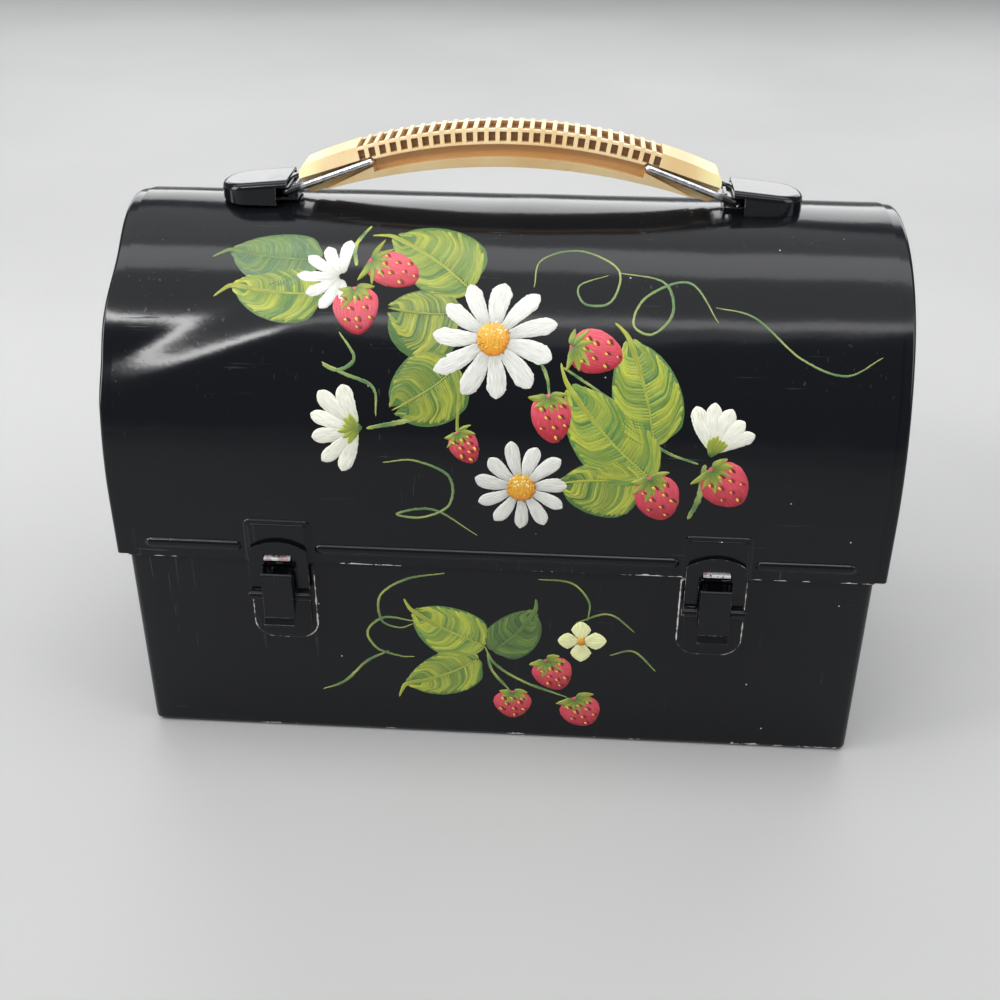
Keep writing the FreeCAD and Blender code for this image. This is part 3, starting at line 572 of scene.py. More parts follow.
def lid_pressings(x, s):
    """Height of the ribs and latch pads over the lid's sheet (mm)."""
    tin = settings("tin")
    height = np.zeros(np.broadcast(x, s).shape)
    for x0, x1 in rib_spans():
        dx = np.maximum(np.maximum(x0 + tin.rib_radius - x, x - x1 + tin.rib_radius), 0)
        d = np.hypot(dx, s - tin.rib_up) / (tin.rib_radius * 1.15)
        height = np.maximum(height, tin.rib_proud * np.cos(np.clip(d, 0, 1) * math.pi / 2) ** 0.55)
    for centre in (-LATCH_X, LATCH_X):
        outer, inner = (lid_pad_distance(x - centre, s, *step) for step in ((0.0, 1.8), (PAD_BORDER, 1.0)))
        pad = sum(pressed(d, *step) for d, step in zip((outer, inner), PAD_STEPS))
        height = np.maximum(height, pad)
    return height


BODY_PAD_HALF, BODY_PAD_DROP, BODY_PAD_TOP_DROP, BODY_PAD_CORNERS = 10.8, 32.0, 2.0, (6.6, 1.0)
BODY_PAD_STEP, BODY_PAD_SOFT = 0.5, 0.3


def body_pad_distance(x, z):
    """Signed distance to the outline of a latch pad on the body."""
    return rounded_box_distance(x, z, BODY_PAD_HALF, LID_EDGE - BODY_PAD_DROP, LID_EDGE - BODY_PAD_TOP_DROP,
                                *BODY_PAD_CORNERS)


def body_pressings(x, z):
    """Height of the latch pads pressed in the body's front (mm)."""
    height = np.zeros(np.broadcast(x, z).shape)
    for centre in (-LATCH_X, LATCH_X):
        d = body_pad_distance(x - centre, z)
        height = np.maximum(height, pressed(d, BODY_PAD_STEP, BODY_PAD_SOFT))
    return height


def shell(name, outer, inner, fields):
    """Closed sheet between an outer and an inner grid of points, with its inner side as slot 1."""
    rows, columns = outer.shape[:2]
    count = rows * columns
    faces = grid_faces(rows, columns)
    inner_faces = [tuple(reversed(f)) for f in grid_faces(rows, columns, count)]
    edge = list(range(columns))
    edge += [r * columns + columns - 1 for r in range(1, rows)]
    edge += [(rows - 1) * columns + c for c in range(columns - 2, -1, -1)]
    edge += [r * columns for r in range(rows - 2, 0, -1)]
    rim = [(b, a, a + count, b + count) for a, b in zip(edge, edge[1:] + edge[:1])]
    points = np.concatenate([outer.reshape(-1, 3), inner.reshape(-1, 3)])
    both = {k: np.concatenate([v.ravel(), v.ravel()]) for k, v in fields.items()}
    obj = mesh_object(name, points, faces + inner_faces + rim, fields=both)
    index = [0] * len(faces) + [1] * len(inner_faces) + [0] * len(rim)
    turn_outwards(obj)
    obj.data.polygons.foreach_set("material_index", index)
    obj.data.set_sharp_from_angle(angle=CREASE)
    return obj

# ------------------------------------------------------------------ brush strokes
ACROSS = np.array([-1, -0.93, -0.55, 0, 0.55, 0.93, 1])
RISE = np.array([0, 0.45, 0.85, 1.0, 0.85, 0.45, 0])


def curve_through(points):
    """Dense smooth line through the points, with the length run so far at each."""
    p = np.asarray(points, float)
    ends = np.vstack([2 * p[0] - p[1], p, 2 * p[-1] - p[-2]])
    t = np.linspace(0, 1, 20, endpoint=False)[:, None]
    parts = []
    for a, b, c, d in zip(ends, ends[1:], ends[2:], ends[3:]):
        parts.append(0.5 * (2 * b + (c - a) * t + (2 * a - 5 * b + 4 * c - d) * t ** 2
                            + (3 * b - a - 3 * c + d) * t ** 3))
    line = np.vstack(parts + [p[-1:]])
    return line, np.r_[0, np.cumsum(np.hypot(*np.diff(line, axis=0).T))]


class Painting:
    """Brush strokes laid in a flat chart (x, s, height in mm), wrapped on to the box at the end."""

    def __init__(self, seed):
        self.rng = np.random.default_rng(seed)
        self.points, self.faces, self.uv, self.colours = [], [], [], []
        self.count = 0

    def add(self, points, faces, uv, colours):
        self.points.append(np.asarray(points, float))
        self.uv.append(np.asarray(uv, float))
        self.colours.append(np.asarray(colours, float))
        self.faces += [tuple(int(i) + self.count for i in face) for face in faces]
        self.count += len(points)

    def stroke(self, points, width, colours, lift=0.04, shape=(0.6, 1.0, 1.0, 0.7), step=0.7, vary=0.12,
               rough=0.0):
        """A stroke along the points; shape is its width and colours its colours, evenly along it."""
        line, run = curve_through(points)
        length = run[-1]
        count = max(6, int(length / step))
        at = np.linspace(0, length, count)
        mid = np.stack([np.interp(at, run, line[:, k]) for k in (0, 1)], -1)
        t = at / length
        along = np.gradient(mid, axis=0)
        along /= np.maximum(np.hypot(*along.T), 1e-9)[:, None]
        side = np.stack([-along[:, 1], along[:, 0]], -1)
        half = width / 2 * np.interp(t, np.linspace(0, 1, len(shape)), shape)
        from_end = np.minimum(t, 1 - t) * length + 0.02
        half *= np.sqrt(np.clip(from_end / np.maximum(half, 0.2), 0, 1))
        wobble = self.rng.normal(0, rough, (count, 2)) if rough else np.zeros((count, 2))
        reach = half[:, None] * ACROSS[None, :]
        reach[:, :2] += wobble[:, :1] * half[:, None]
        reach[:, -2:] += wobble[:, 1:] * half[:, None]
        flat = mid[:, None, :] + side[:, None, :] * reach[..., None]
        full = lift + settings("paint").relief * np.clip(half / (width / 2), 0.3, 1)
        height = 0.015 + full[:, None] * RISE[None, :]
        points3 = np.concatenate([flat, height[..., None]], -1).reshape(-1, 3)
        shift = self.rng.uniform(0, 40, 2)
        uv = np.stack([np.repeat(at, 7) + shift[0], reach.ravel() + shift[1]], -1)
        stops = np.linspace(0, 1, len(colours))
        rows = np.stack([np.interp(t, stops, [c[k] for c in colours]) for k in range(3)], -1)
        rows = rows * (1 + self.rng.normal(0, vary))
        self.add(points3, grid_faces(count, 7), uv, np.repeat(np.clip(rows, 0, 1), 7, 0))

    def blob(self, centre, angle, length, width, low_colour, high_colour, light_from, lift=0.12, dome=0.22,
             narrow=0.18, wobble=0.02):
        """Rounded patch such as a berry; angle (degrees) points to its narrow end."""
        rings = np.array([0.0, 0.3, 0.55, 0.75, 0.88, 0.96, 1.0])
        turns = np.linspace(0, FULL_TURN, 36, endpoint=False)
        out = 1 + wobble * np.sin(turns * 3 + self.rng.uniform(0, 6)) + self.rng.normal(0, 0.008, 36)
        r, a = np.meshgrid(rings[1:], turns, indexing="ij")
        grow = r * np.where(r > 0.5, out[None, :], 1.0)
        u = np.concatenate([[0], (grow * np.cos(a)).ravel()])
        v = np.concatenate([[0], (grow * np.sin(a)).ravel()])
        radius = np.concatenate([[0], r.ravel()])
        x, y = u * length / 2, v * width / 2 * (1 - narrow * u)
        turn = math.radians(angle)
        px = centre[0] + x * math.cos(turn) - y * math.sin(turn)
        py = centre[1] + x * math.sin(turn) + y * math.cos(turn)
        height = lift + dome * np.sqrt(np.clip(1 - radius ** 2, 0, 1))
        height = np.where(radius > 0.99, 0.015, height)
        light = math.radians(light_from)
        dx, dy = (px - centre[0]) / (length / 2), (py - centre[1]) / (width / 2)
        shade = 0.5 + 0.5 * (dx * math.cos(light) + dy * math.sin(light))
        shade = np.clip(shade - 0.25 * radius ** 4 + 0.05, 0, 1)[:, None]
        colours = np.asarray(low_colour) * (1 - shade) + np.asarray(high_colour) * shade
        count = len(turns)
        faces = [(0, 1 + i, 1 + (i + 1) % count) for i in range(count)]
        faces += [tuple(reversed(f)) for f in grid_faces(len(rings) - 1, count, 1, closed=True)]
        self.add(np.stack([px, py, height], -1), faces, np.stack([x, y], -1) + self.rng.uniform(0, 40, 2),
                 colours)

    def leaf(self, base, tip, half, light, dark, bend=0.0, hook=0.0, under=1.0, count=30, lift=0.06):
        """A leaf: a dark ground, two fans of fine curved strokes, a midrib and a hooked tail.

        half is its half width above the midrib; under is how much wider it is below.
        """
        base, tip = np.asarray(base, float), np.asarray(tip, float)
        axis = tip - base
        length = float(np.hypot(*axis))
        axis /= length
        side = np.array([-axis[1], axis[0]])
        light, dark = np.asarray(light), np.asarray(dark)
        widths = (0.52, 0.90, 1.04, 1.08, 1.03, 0.93, 0.76, 0.50, 0.12)

        def mid(t):
            return base + axis * length * t + side * bend * math.sin(math.pi * t)

        def reach(t, sign):
            wide = half * (under if sign * side[1] < 0 else 1.0)
            return wide * float(np.interp(t, np.linspace(0, 1, len(widths)), widths))

        for sign in (-1, 1):
            rows = [mid(t) + side * sign * reach(t, sign) * 0.5 for t in np.linspace(0.02, 0.97, 7)]
            wide = reach(0.4, sign)
            self.stroke(rows, wide * 1.06, (dark * 0.8, dark), lift=0.0, shape=widths, vary=0.03)
            phase = self.rng.uniform(0, 6.3)
            for i in range(count):
                t0 = -0.10 + 0.92 * i / count
                t1 = min(t0 + 0.27, 1.0)
                start = mid(max(t0, 0.0))
                end = mid(t1) + side * sign * reach(t1, sign) * self.rng.uniform(0.94, 1.06)
                tm = min(max(t0 + 0.07, 0.02), 1.0)
                belly = mid(tm) + side * sign * reach(tm, sign) * 0.60
                mix = 0.55 + 0.25 * math.sin(phase + i * 0.55) + self.rng.normal(0, 0.24)
                mix = float(np.clip(mix, 0, 1.25))
                inner = dark + (light - dark) * mix * 0.75
                tone = dark + (light - dark) * mix
                edge = dark + (light - dark) * float(np.clip(mix + self.rng.normal(0.05, 0.2), 0, 1.1))
                self.stroke([start, belly, end], length * 0.050, (inner, tone, edge), lift=lift,
                            shape=(0.5, 1.0, 1.1, 0.8), rough=0.06, vary=0.07)
        tail = [mid(0.02), mid(0.35), mid(0.7), mid(1.0)]
        if hook:
            tail += [tip + axis * length * along + side * hook * aside
                     for along, aside in ((0.11, 0.45), (0.19, 1))]
        tones = (light * 0.8, light * 0.7 + dark * 0.3, light * 0.7, light * 0.9)
        self.stroke(tail, 2.0 if hook else 1.1, tones, lift=lift + 0.04,
                    shape=(0.3, 0.4, 0.5, 0.95, 0.9, 0.3), vary=0.05)

    def take(self, obj):
        """Add a mesh that was made flat in the chart, with its paint, map and tint."""
        mesh = obj.data
        uv = np.zeros((len(mesh.vertices), 2))
        uv[read(mesh.loops, "vertex_index", 1, int)] = read(mesh.attributes["UVMap"].data, "vector", 2)
        tint = read(mesh.attributes["tint"].data, "value", 1)[:, None]
        colours = read(mesh.attributes["paint"].data, "color", 4)[:, :3] * tint
        self.add(read(mesh.vertices, "co", 3) / MM, [tuple(p.vertices) for p in mesh.polygons],
                 uv + np.round(tint * 997) * 3.7, colours)
        removed(obj)

    def finished(self, name, place, body):
        """Wrap the strokes on to the box and hand the piece over."""
        points = place(*np.concatenate(self.points).T)
        obj = mesh_object(name, points, self.faces, np.concatenate(self.uv), np.concatenate(self.colours))
        finished(obj, body, body + "_enamel", [finish("brushed")])


def single_stroke(name, points, width, colours, seed, **more):
    """One stroke as an object of its own, to be set round a flower by the fan tree."""
    painting = Painting(seed)
    painting.stroke(points, width, colours, **more)
    return mesh_object(name, painting.points[0], painting.faces, painting.uv[0], painting.colours[0])


# ------------------------------------------------------------------ geometry nodes
def new_tree(name, inputs):
    """Geometry node tree with named inputs: (name, kind of socket, default)."""
    tree = bpy.data.node_groups.new(name, "GeometryNodeTree")
    for label, kind, default in (("Geometry", "Geometry", None), *inputs):
        socket = tree.interface.new_socket(name=label, in_out="INPUT", socket_type="NodeSocket" + kind)
        if default is not None:
            socket.default_value = default
    tree.interface.new_socket(name="Geometry", in_out="OUTPUT", socket_type="NodeSocketGeometry")
    kit = Nodes(tree)
    return kit, kit.add("NodeGroupInput", out=None).outputs


def random_value(kit, low, high, seed, shift):
    return kit.add("FunctionNodeRandomValue", {2: low, 3: high, "Seed": kit.plus(seed, float(shift))}, 1,
                   data_type="FLOAT")


def about_one(kit, given, jitter, shift):
    """Random size that strays from 1 by the jitter."""
    return random_value(kit, kit.minus(1.0, jitter), kit.plus(1.0, jitter), given["Seed"], shift)


def set_strokes(kit, given, points, angle, scale, palest, shift):
    """Put the stroke on every point, tint each, realize them, set the material and end the tree."""
    stroke = kit.add("GeometryNodeObjectInfo", {"Object": given["Stroke"]}, "Geometry")
    placed = kit.add("GeometryNodeInstanceOnPoints", {
        "Points": points, "Instance": stroke, "Rotation": kit.xyz(z=angle), "Scale": scale})
    tint = random_value(kit, palest, 1.0, given["Seed"], shift)
    placed = kit.add("GeometryNodeStoreNamedAttribute", {"Geometry": placed, "Name": "tint", "Value": tint},
                     data_type="FLOAT", domain="INSTANCE")
    real = kit.add("GeometryNodeRealizeInstances", {"Geometry": placed})
    real = kit.add("GeometryNodeSetMaterial", {"Geometry": real, "Material": given["Material"]})
    kit.add("NodeGroupOutput", {"Geometry": real}, None)
    return kit.tree


def fan_tree():
    """Strokes set round a centre: the petals of a flower or the sepals of a berry."""
    kit, given = new_tree("Stroke fan", (
        ("Stroke", "Object", None), ("Count", "Int", 11), ("Ring", "Float", 0.004), ("Start", "Float", 0.0),
        ("Sweep", "Float", 6.2832), ("Jitter", "Float", 0.08), ("Layer", "Float", 0.00002),
        ("Seed", "Int", 1), ("Material", "Material", None)))
    index = kit.add("GeometryNodeInputIndex")
    shaken = kit.times(random_value(kit, -0.5, 0.5, given["Seed"], 3), given["Jitter"])
    share = kit.math("DIVIDE", kit.plus(index, shaken), given["Count"])
    angle = kit.plus(kit.times(share, given["Sweep"]), given["Start"])
    spot = kit.xyz(x=kit.times(kit.math("COSINE", angle), given["Ring"]),
                   y=kit.times(kit.math("SINE", angle), given["Ring"]),
                   z=kit.times(kit.math("MODULO", index, 3.0), given["Layer"]))
    points = kit.add("GeometryNodePoints", {"Count": given["Count"], "Position": spot})
    wide, long = (about_one(kit, given, given["Jitter"], shift) for shift in (11, 17))
    scale = kit.xyz(x=wide, y=long, z=1.0)
    return set_strokes(kit, given, points, angle, scale, 0.88, 23)


def scatter_tree():
    """Seeds on a berry: one small stroke on each given point, turned and sized at random."""
    kit, given = new_tree("Seed scatter", (
        ("Stroke", "Object", None), ("Turn", "Float", 0.0), ("Turn jitter", "Float", 0.35),
        ("Size jitter", "Float", 0.25), ("Seed", "Int", 1), ("Material", "Material", None)))
    points = kit.add("GeometryNodeMeshToPoints", {"Mesh": given["Geometry"]})
    less = kit.times(given["Turn jitter"], -1.0)
    turn = kit.plus(given["Turn"], random_value(kit, less, given["Turn jitter"], given["Seed"], 5))
    scale = about_one(kit, given, given["Size jitter"], 7)
    return set_strokes(kit, given, points, turn, kit.xyz(x=scale, y=scale, z=1.0), 0.8, 9)


def grown(tree, values, points=((0, 0, 0),)):
    """Mesh object that a tree makes with these values of its named inputs."""
    obj = mesh_object("grown", points, [])
    modifier = obj.modifiers.new("Nodes", "NODES")
    modifier.node_group = tree
    for item in tree.interface.items_tree:
        if item.item_type == "SOCKET" and item.in_out == "INPUT" and item.name in values:
            modifier[item.identifier] = values[item.name]
    return baked(obj)


class Garden:
    """The strokes and trees that every painted flower, berry and leaf is made from."""

    def __init__(self):
        paint = settings("paint")
        self.material = finish("brushed")
        self.fan, self.scatter = fan_tree(), scatter_tree()
        white = np.array(paint.white)
        self.white = (white * np.array((0.62, 0.62, 0.58)), white * 0.95, white, white)
        self.lime, self.green = np.array(paint.lime), np.array(paint.green)
        self.yellow, self.red = np.array(paint.yellow), np.array(paint.red)
        self.serial = 0

    def fan_of(self, painting, stroke, centre, **values):
        """Copies of a stroke round a centre; the stroke itself is used up."""
        self.serial += 1
        made = grown(self.fan, {"Stroke": stroke, "Material": self.material, "Seed": self.serial, **values})
        made.data.transform(Matrix.Translation(Vector((centre[0] * MM, centre[1] * MM, 0))))
        painting.take(made)
        removed(stroke)

    def petal(self, length, width, bend=0.5, colours=None):
        self.serial += 1
        line = [(0, 0), (length * 0.5, bend), (length, 0)]
        return single_stroke("petal", line, width, colours or self.white, 100 + self.serial, lift=0.16,
                             shape=(0.42, 0.72, 0.95, 1.02, 0.92), step=0.6, vary=0.0, rough=0.03)

    def daisy(self, painting, centre, radius, core, petals=11, start=0.0, sweep=FULL_TURN):
        """White petals round a dabbed yellow centre."""
        inner = core * 0.7
        petal = self.petal(radius - inner, radius * 0.31)
        self.fan_of(painting, petal, centre, Count=petals, Ring=inner * MM, Start=start, Sweep=sweep,
                    Jitter=0.10)
        if core > 2:
            self.heart(painting, centre, core)

    def heart(self, painting, centre, core):
        """Yellow centre: a dome with dabs, lighter above and brown below."""
        painting.blob(centre, 90, 2 * core, 2 * core, self.yellow * (0.75, 0.5, 0.3), self.yellow * 0.95, 110,
                      lift=0.25, dome=0.3, narrow=0.0, wobble=0.03)
        rng = painting.rng
        for i in range(int(core * 26)):
            r = core * math.sqrt(rng.uniform(0, 1.0))
            a = rng.uniform(0, FULL_TURN)
            at = np.array(centre) + r * np.array((math.cos(a), math.sin(a)))
            high = (at[1] - centre[1]) / core
            if r > core * 0.7 and high < 0.5:
                tone = np.array((0.42, 0.14, 0.01)) * rng.uniform(0.6, 1.5)
            elif high > 0.1 and rng.uniform() < 0.6:
                tone = np.array((0.95, 0.85, 0.45))
            else:
                tone = self.yellow * rng.uniform(0.75, 1.1)
            go = rng.normal(0, 0.35, 2)
            painting.stroke([at, at + go + (0.25, 0.1)], 0.62, (tone, tone),
                            lift=0.62 - 0.28 * (r / core) ** 2, shape=(1, 1), step=0.2, vary=0.08)

    def berry(self, painting, centre, angle, length, width, stem=None):
        """A strawberry with yellow seeds in dark dimples and green sepals at its wide end."""
        red = self.red
        painting.blob(centre, angle, length, width, red * (0.62, 0.5, 0.6),
                      np.minimum(red + (0.20, 0.08, 0.10), 1), 100, lift=0.13, dome=0.2,
                      narrow=0.22, wobble=0.015)
        turn = math.radians(angle)
        e, n = np.array((math.cos(turn), math.sin(turn))), np.array((-math.sin(turn), math.cos(turn)))
        pits, seeds = [], []
        for row, u in enumerate(np.linspace(-0.45, 0.75, 4)):
            spread = 0.62 * math.sqrt(max(0.05, 1 - u * u))
            places = (-0.5, 0.5) if row % 2 else (-0.95, 0.0, 0.95)
            if row == 3:
                places = (0.0,)
            for v in places:
                at = np.array(centre) + e * u * length / 2 + n * v * spread * width / 2
                at += painting.rng.normal(0, 0.25, 2)
                seeds.append((*at, 0.36))
                pits.append((*(at + n * 0.2 + (0.75, 0.15)), 0.30))
        self.serial += 1
        pit = single_stroke("pit", [(-0.9, 0), (0, 0.1), (0.9, 0)], 0.8, (red * 0.35, red * 0.35), 3,
                            lift=0.1, shape=(0.5, 1, 0.6), step=0.25, vary=0)
        seed = single_stroke("seed", [(-0.6, 0), (0, 0.05), (0.6, 0)], 0.75,
                             (self.yellow * (1, 1.15, 2.5), self.yellow * (0.95, 0.95, 1.5)), 4, lift=0.14,
                             shape=(0.9, 1, 0.5), step=0.2, vary=0)
        for stroke, spots, degrees in ((pit, pits, -52), (seed, seeds, -44)):
            painting.take(grown(self.scatter, {"Stroke": stroke, "Turn": math.radians(degrees),
                                               "Seed": self.serial, "Material": self.material}, spots))
            removed(stroke)
        crown = np.array(centre) - e * length * 0.44
        sepal = single_stroke("sepal", [(0, 0), (length * 0.18, 0.35), (length * 0.40, -0.1)], width * 0.20,
                              (self.green * 1.3, self.lime * 0.6 + self.green * 0.4, self.lime * 0.75), 5,
                              lift=0.36, shape=(0.8, 1, 0.7, 0.2), vary=0, step=0.5)
        self.fan_of(painting, sepal, crown, Count=7, Ring=0.3 * MM, Start=turn - 1.65, Sweep=3.8, Jitter=0.25)
        if stem is not None:
            points = [crown - e * 0.2] + [np.array(p, float) for p in stem]
            painting.stroke(points, 1.15, (self.lime * 0.75, self.green * 1.8), lift=0.10,
                            shape=(0.9, 0.8, 0.7, 0.4), vary=0.05)

    def bud(self, painting, centre, angle, length, petals=5, sweep=1.9):
        """A daisy from the side: a short fan of petals out of a green cup."""
        turn = math.radians(angle)
        cream = np.array((0.86, 0.86, 0.74))
        petal = self.petal(length, length * 0.34, 0.4,
                           (cream * (0.55, 0.75, 0.35), cream * 0.9, cream, cream))
        self.fan_of(painting, petal, centre, Count=petals, Ring=0.8 * MM, Start=turn - sweep / 2,
                    Sweep=sweep * petals / (petals - 1), Jitter=0.12)
        cup = single_stroke("cup", [(-1.5, 0), (1.5, 0.1), (5.4, 0)], 2.5,
                            (self.green, self.lime * 0.5 + self.green * 0.5, self.lime * 0.9), 6, lift=0.34,
                            shape=(1, 1, 0.9, 0.5), vary=0, step=0.5)
        self.fan_of(painting, cup, centre, Count=6, Ring=0.0, Start=turn - sweep * 0.42, Sweep=sweep,
                    Jitter=0.2)

    def vine(self, painting, points, width=0.9, shape=(0.35, 1.0, 0.8, 1.0, 0.3), tone=0.5):
        """A thin curling tendril."""
        light = self.lime * tone + np.array((0.20, 0.30, 0.16)) * (1 - tone)
        dark = self.green * 1.1 + np.array((0.02, 0.04, 0.03))
        painting.stroke(points, width, (light, dark, light, dark, light), lift=0.01, shape=shape, step=0.6,
                        vary=0.05, rough=0.10)

# ------------------------------------------------------------------ pieces
FLOOR_HALF, FLOOR_Z = 6000, -0.05
# Name, place, aim, width, height and power of each light.
LIGHTS = (
    ("Back wall light", (0.0, 1.25, 0.75), (0, 0.05, 0.12), 2.4, 0.7, 19),
    ("Left window", (-1.20, -0.50, 0.62), (-0.03, 0, 0.10), 0.5, 0.8, 13),
    ("Right fill", (1.25, -0.55, 0.75), (0.03, 0, 0.09), 0.7, 0.9, 8),
    ("Overhead", (-0.1, -0.1, 1.5), (0, 0, 0.1), 2.6, 2.6, 22),
    ("Ceiling", (0.0, 0.08, 1.45), (0, 0.05, 0.1), 2.2, 0.45, 9),
    ("Front window", (-0.64, -0.79, 1.0), (-0.09, -0.06, 0.14), 0.38, 0.10, 2.8),
    ("Front strip", (0.15, -0.92, 1.22), (0.0, -0.06, 0.12), 2.2, 0.14, 4.5))


class LUNCHBOX_OT_stage(bpy.types.Operator):
    """Floor, soft lights and camera"""
    bl_idname = "lunchbox.stage"
    bl_label = "Stage"

    def execute(self, context):
        self.floor()
        stage = settings("stage")
        world = bpy.data.worlds.new("Studio")
        world.use_nodes = True
        room = world.node_tree.nodes["Background"]
        room.inputs["Color"].default_value = (0.86, 0.92, 1.0, 1)
        room.inputs["Strength"].default_value = stage.world_light
        context.scene.world = world
        for light in LIGHTS:
            self.softbox(*light)

        angles = stage.camera_yaw, stage.camera_pitch, stage.camera_roll
        cy, cp, cr = map(math.cos, angles)
        sy, sp, sr = map(math.sin, angles)
        forward, right = Vector((sy * cp, cy * cp, -sp)), Vector((cy, -sy, 0))
        down = forward.cross(right)
        across, below = right * cr + down * sr, down * cr - right * sr
        turn = Matrix((across, -below, -forward)).transposed().to_4x4()
        data = bpy.data.cameras.new("Camera")
        data.sensor_width, data.lens = 36.0, stage.lens
        data.clip_start = 0.01
        camera = linked("Camera", data)
        camera.matrix_world = Matrix.Translation(Vector(stage.camera_place)) @ turn
        context.scene.camera = camera
        context.scene.view_settings.view_transform = "Standard"
        return {"FINISHED"}

    def floor(self):
        """Pale floor that glows a little far from the object, so that it doesn't fall off to grey."""
        kit = Surface("Pale floor")
        tone = kit.mix(kit.spots(3.0, 3.0, 0.5, 0.3, 0.7), (0.34, 0.34, 0.336, 1), (0.37, 0.37, 0.366, 1))
        away = kit.add("ShaderNodeVectorMath", {0: kit.place}, "Value", operation="LENGTH")
        material = kit.done({"Base Color": tone, "Emission Strength": kit.ramp(away, 0.9, 3.5, 0.0, 0.42),
                             "Emission Color": (0.97, 0.98, 1.0, 1), "Roughness": 0.55,
                             "Specular IOR Level": 0.25})
        corners = [(x * FLOOR_HALF, y * FLOOR_HALF, FLOOR_Z) for x, y in ((-1, -1), (1, -1), (1, 1), (-1, 1))]
        floor = mesh_object("floor", corners, [(0, 1, 2, 3)])
        floor.data.materials.append(material)

    def softbox(self, name, place, aim, width, height, power):
        """Rectangular light that mirrors in the enamel but isn't seen itself."""
        data = bpy.data.lights.new(name, "AREA")
        data.shape, data.size, data.size_y, data.energy = "RECTANGLE", width, height, power
        lamp = linked(name, data)
        turn = (Vector(place) - Vector(aim)).to_track_quat("Z", "Y").to_matrix().to_4x4()
        lamp.matrix_world = Matrix.Translation(Vector(place)) @ turn
        lamp.visible_camera = False


def crafted(node, material, slot, bevel=0.16, angle=32):
    """A frame node with its edges rounded; the rounded strips carry the wear."""
    source = frame["nodes"][node]
    mesh = source.data.copy()
    mesh.materials.clear()
    obj = linked(node + "_finished", mesh)
    work = bmesh.new()
    work.from_mesh(mesh)
    bmesh.ops.remove_doubles(work, verts=work.verts, dist=2e-6)
    bmesh.ops.dissolve_limit(work, angle_limit=math.radians(0.6), verts=work.verts, edges=work.edges)
    wear = work.verts.layers.float.new("wear")
    edges = [e for e in work.edges if e.is_manifold and e.calc_face_angle(0) > math.radians(angle)]
    made = bmesh.ops.bevel(work, geom=edges, offset=bevel * MM, offset_type="OFFSET", segments=2,
                           profile=0.5, affect="EDGES", clamp_overlap=True)
    strip = set(made["faces"])
    for vert in made["verts"]:
        vert[wear] = float(all(face in strip for face in vert.link_faces))
    bmesh.ops.triangulate(work, faces=[f for f in work.faces if len(f.verts) > 4])
    work.to_mesh(mesh)
    work.free()
    mesh.polygons.foreach_set("use_smooth", [True] * len(mesh.polygons))
    mesh.set_sharp_from_angle(angle=math.radians(48))
    obj.modifiers.new("Weighted normals", "WEIGHTED_NORMAL").keep_sharp = True
    baked(obj)
    finished(obj, source["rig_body"], slot, [finish(material)], node)
    return obj

PAD_ZONE = 13.0


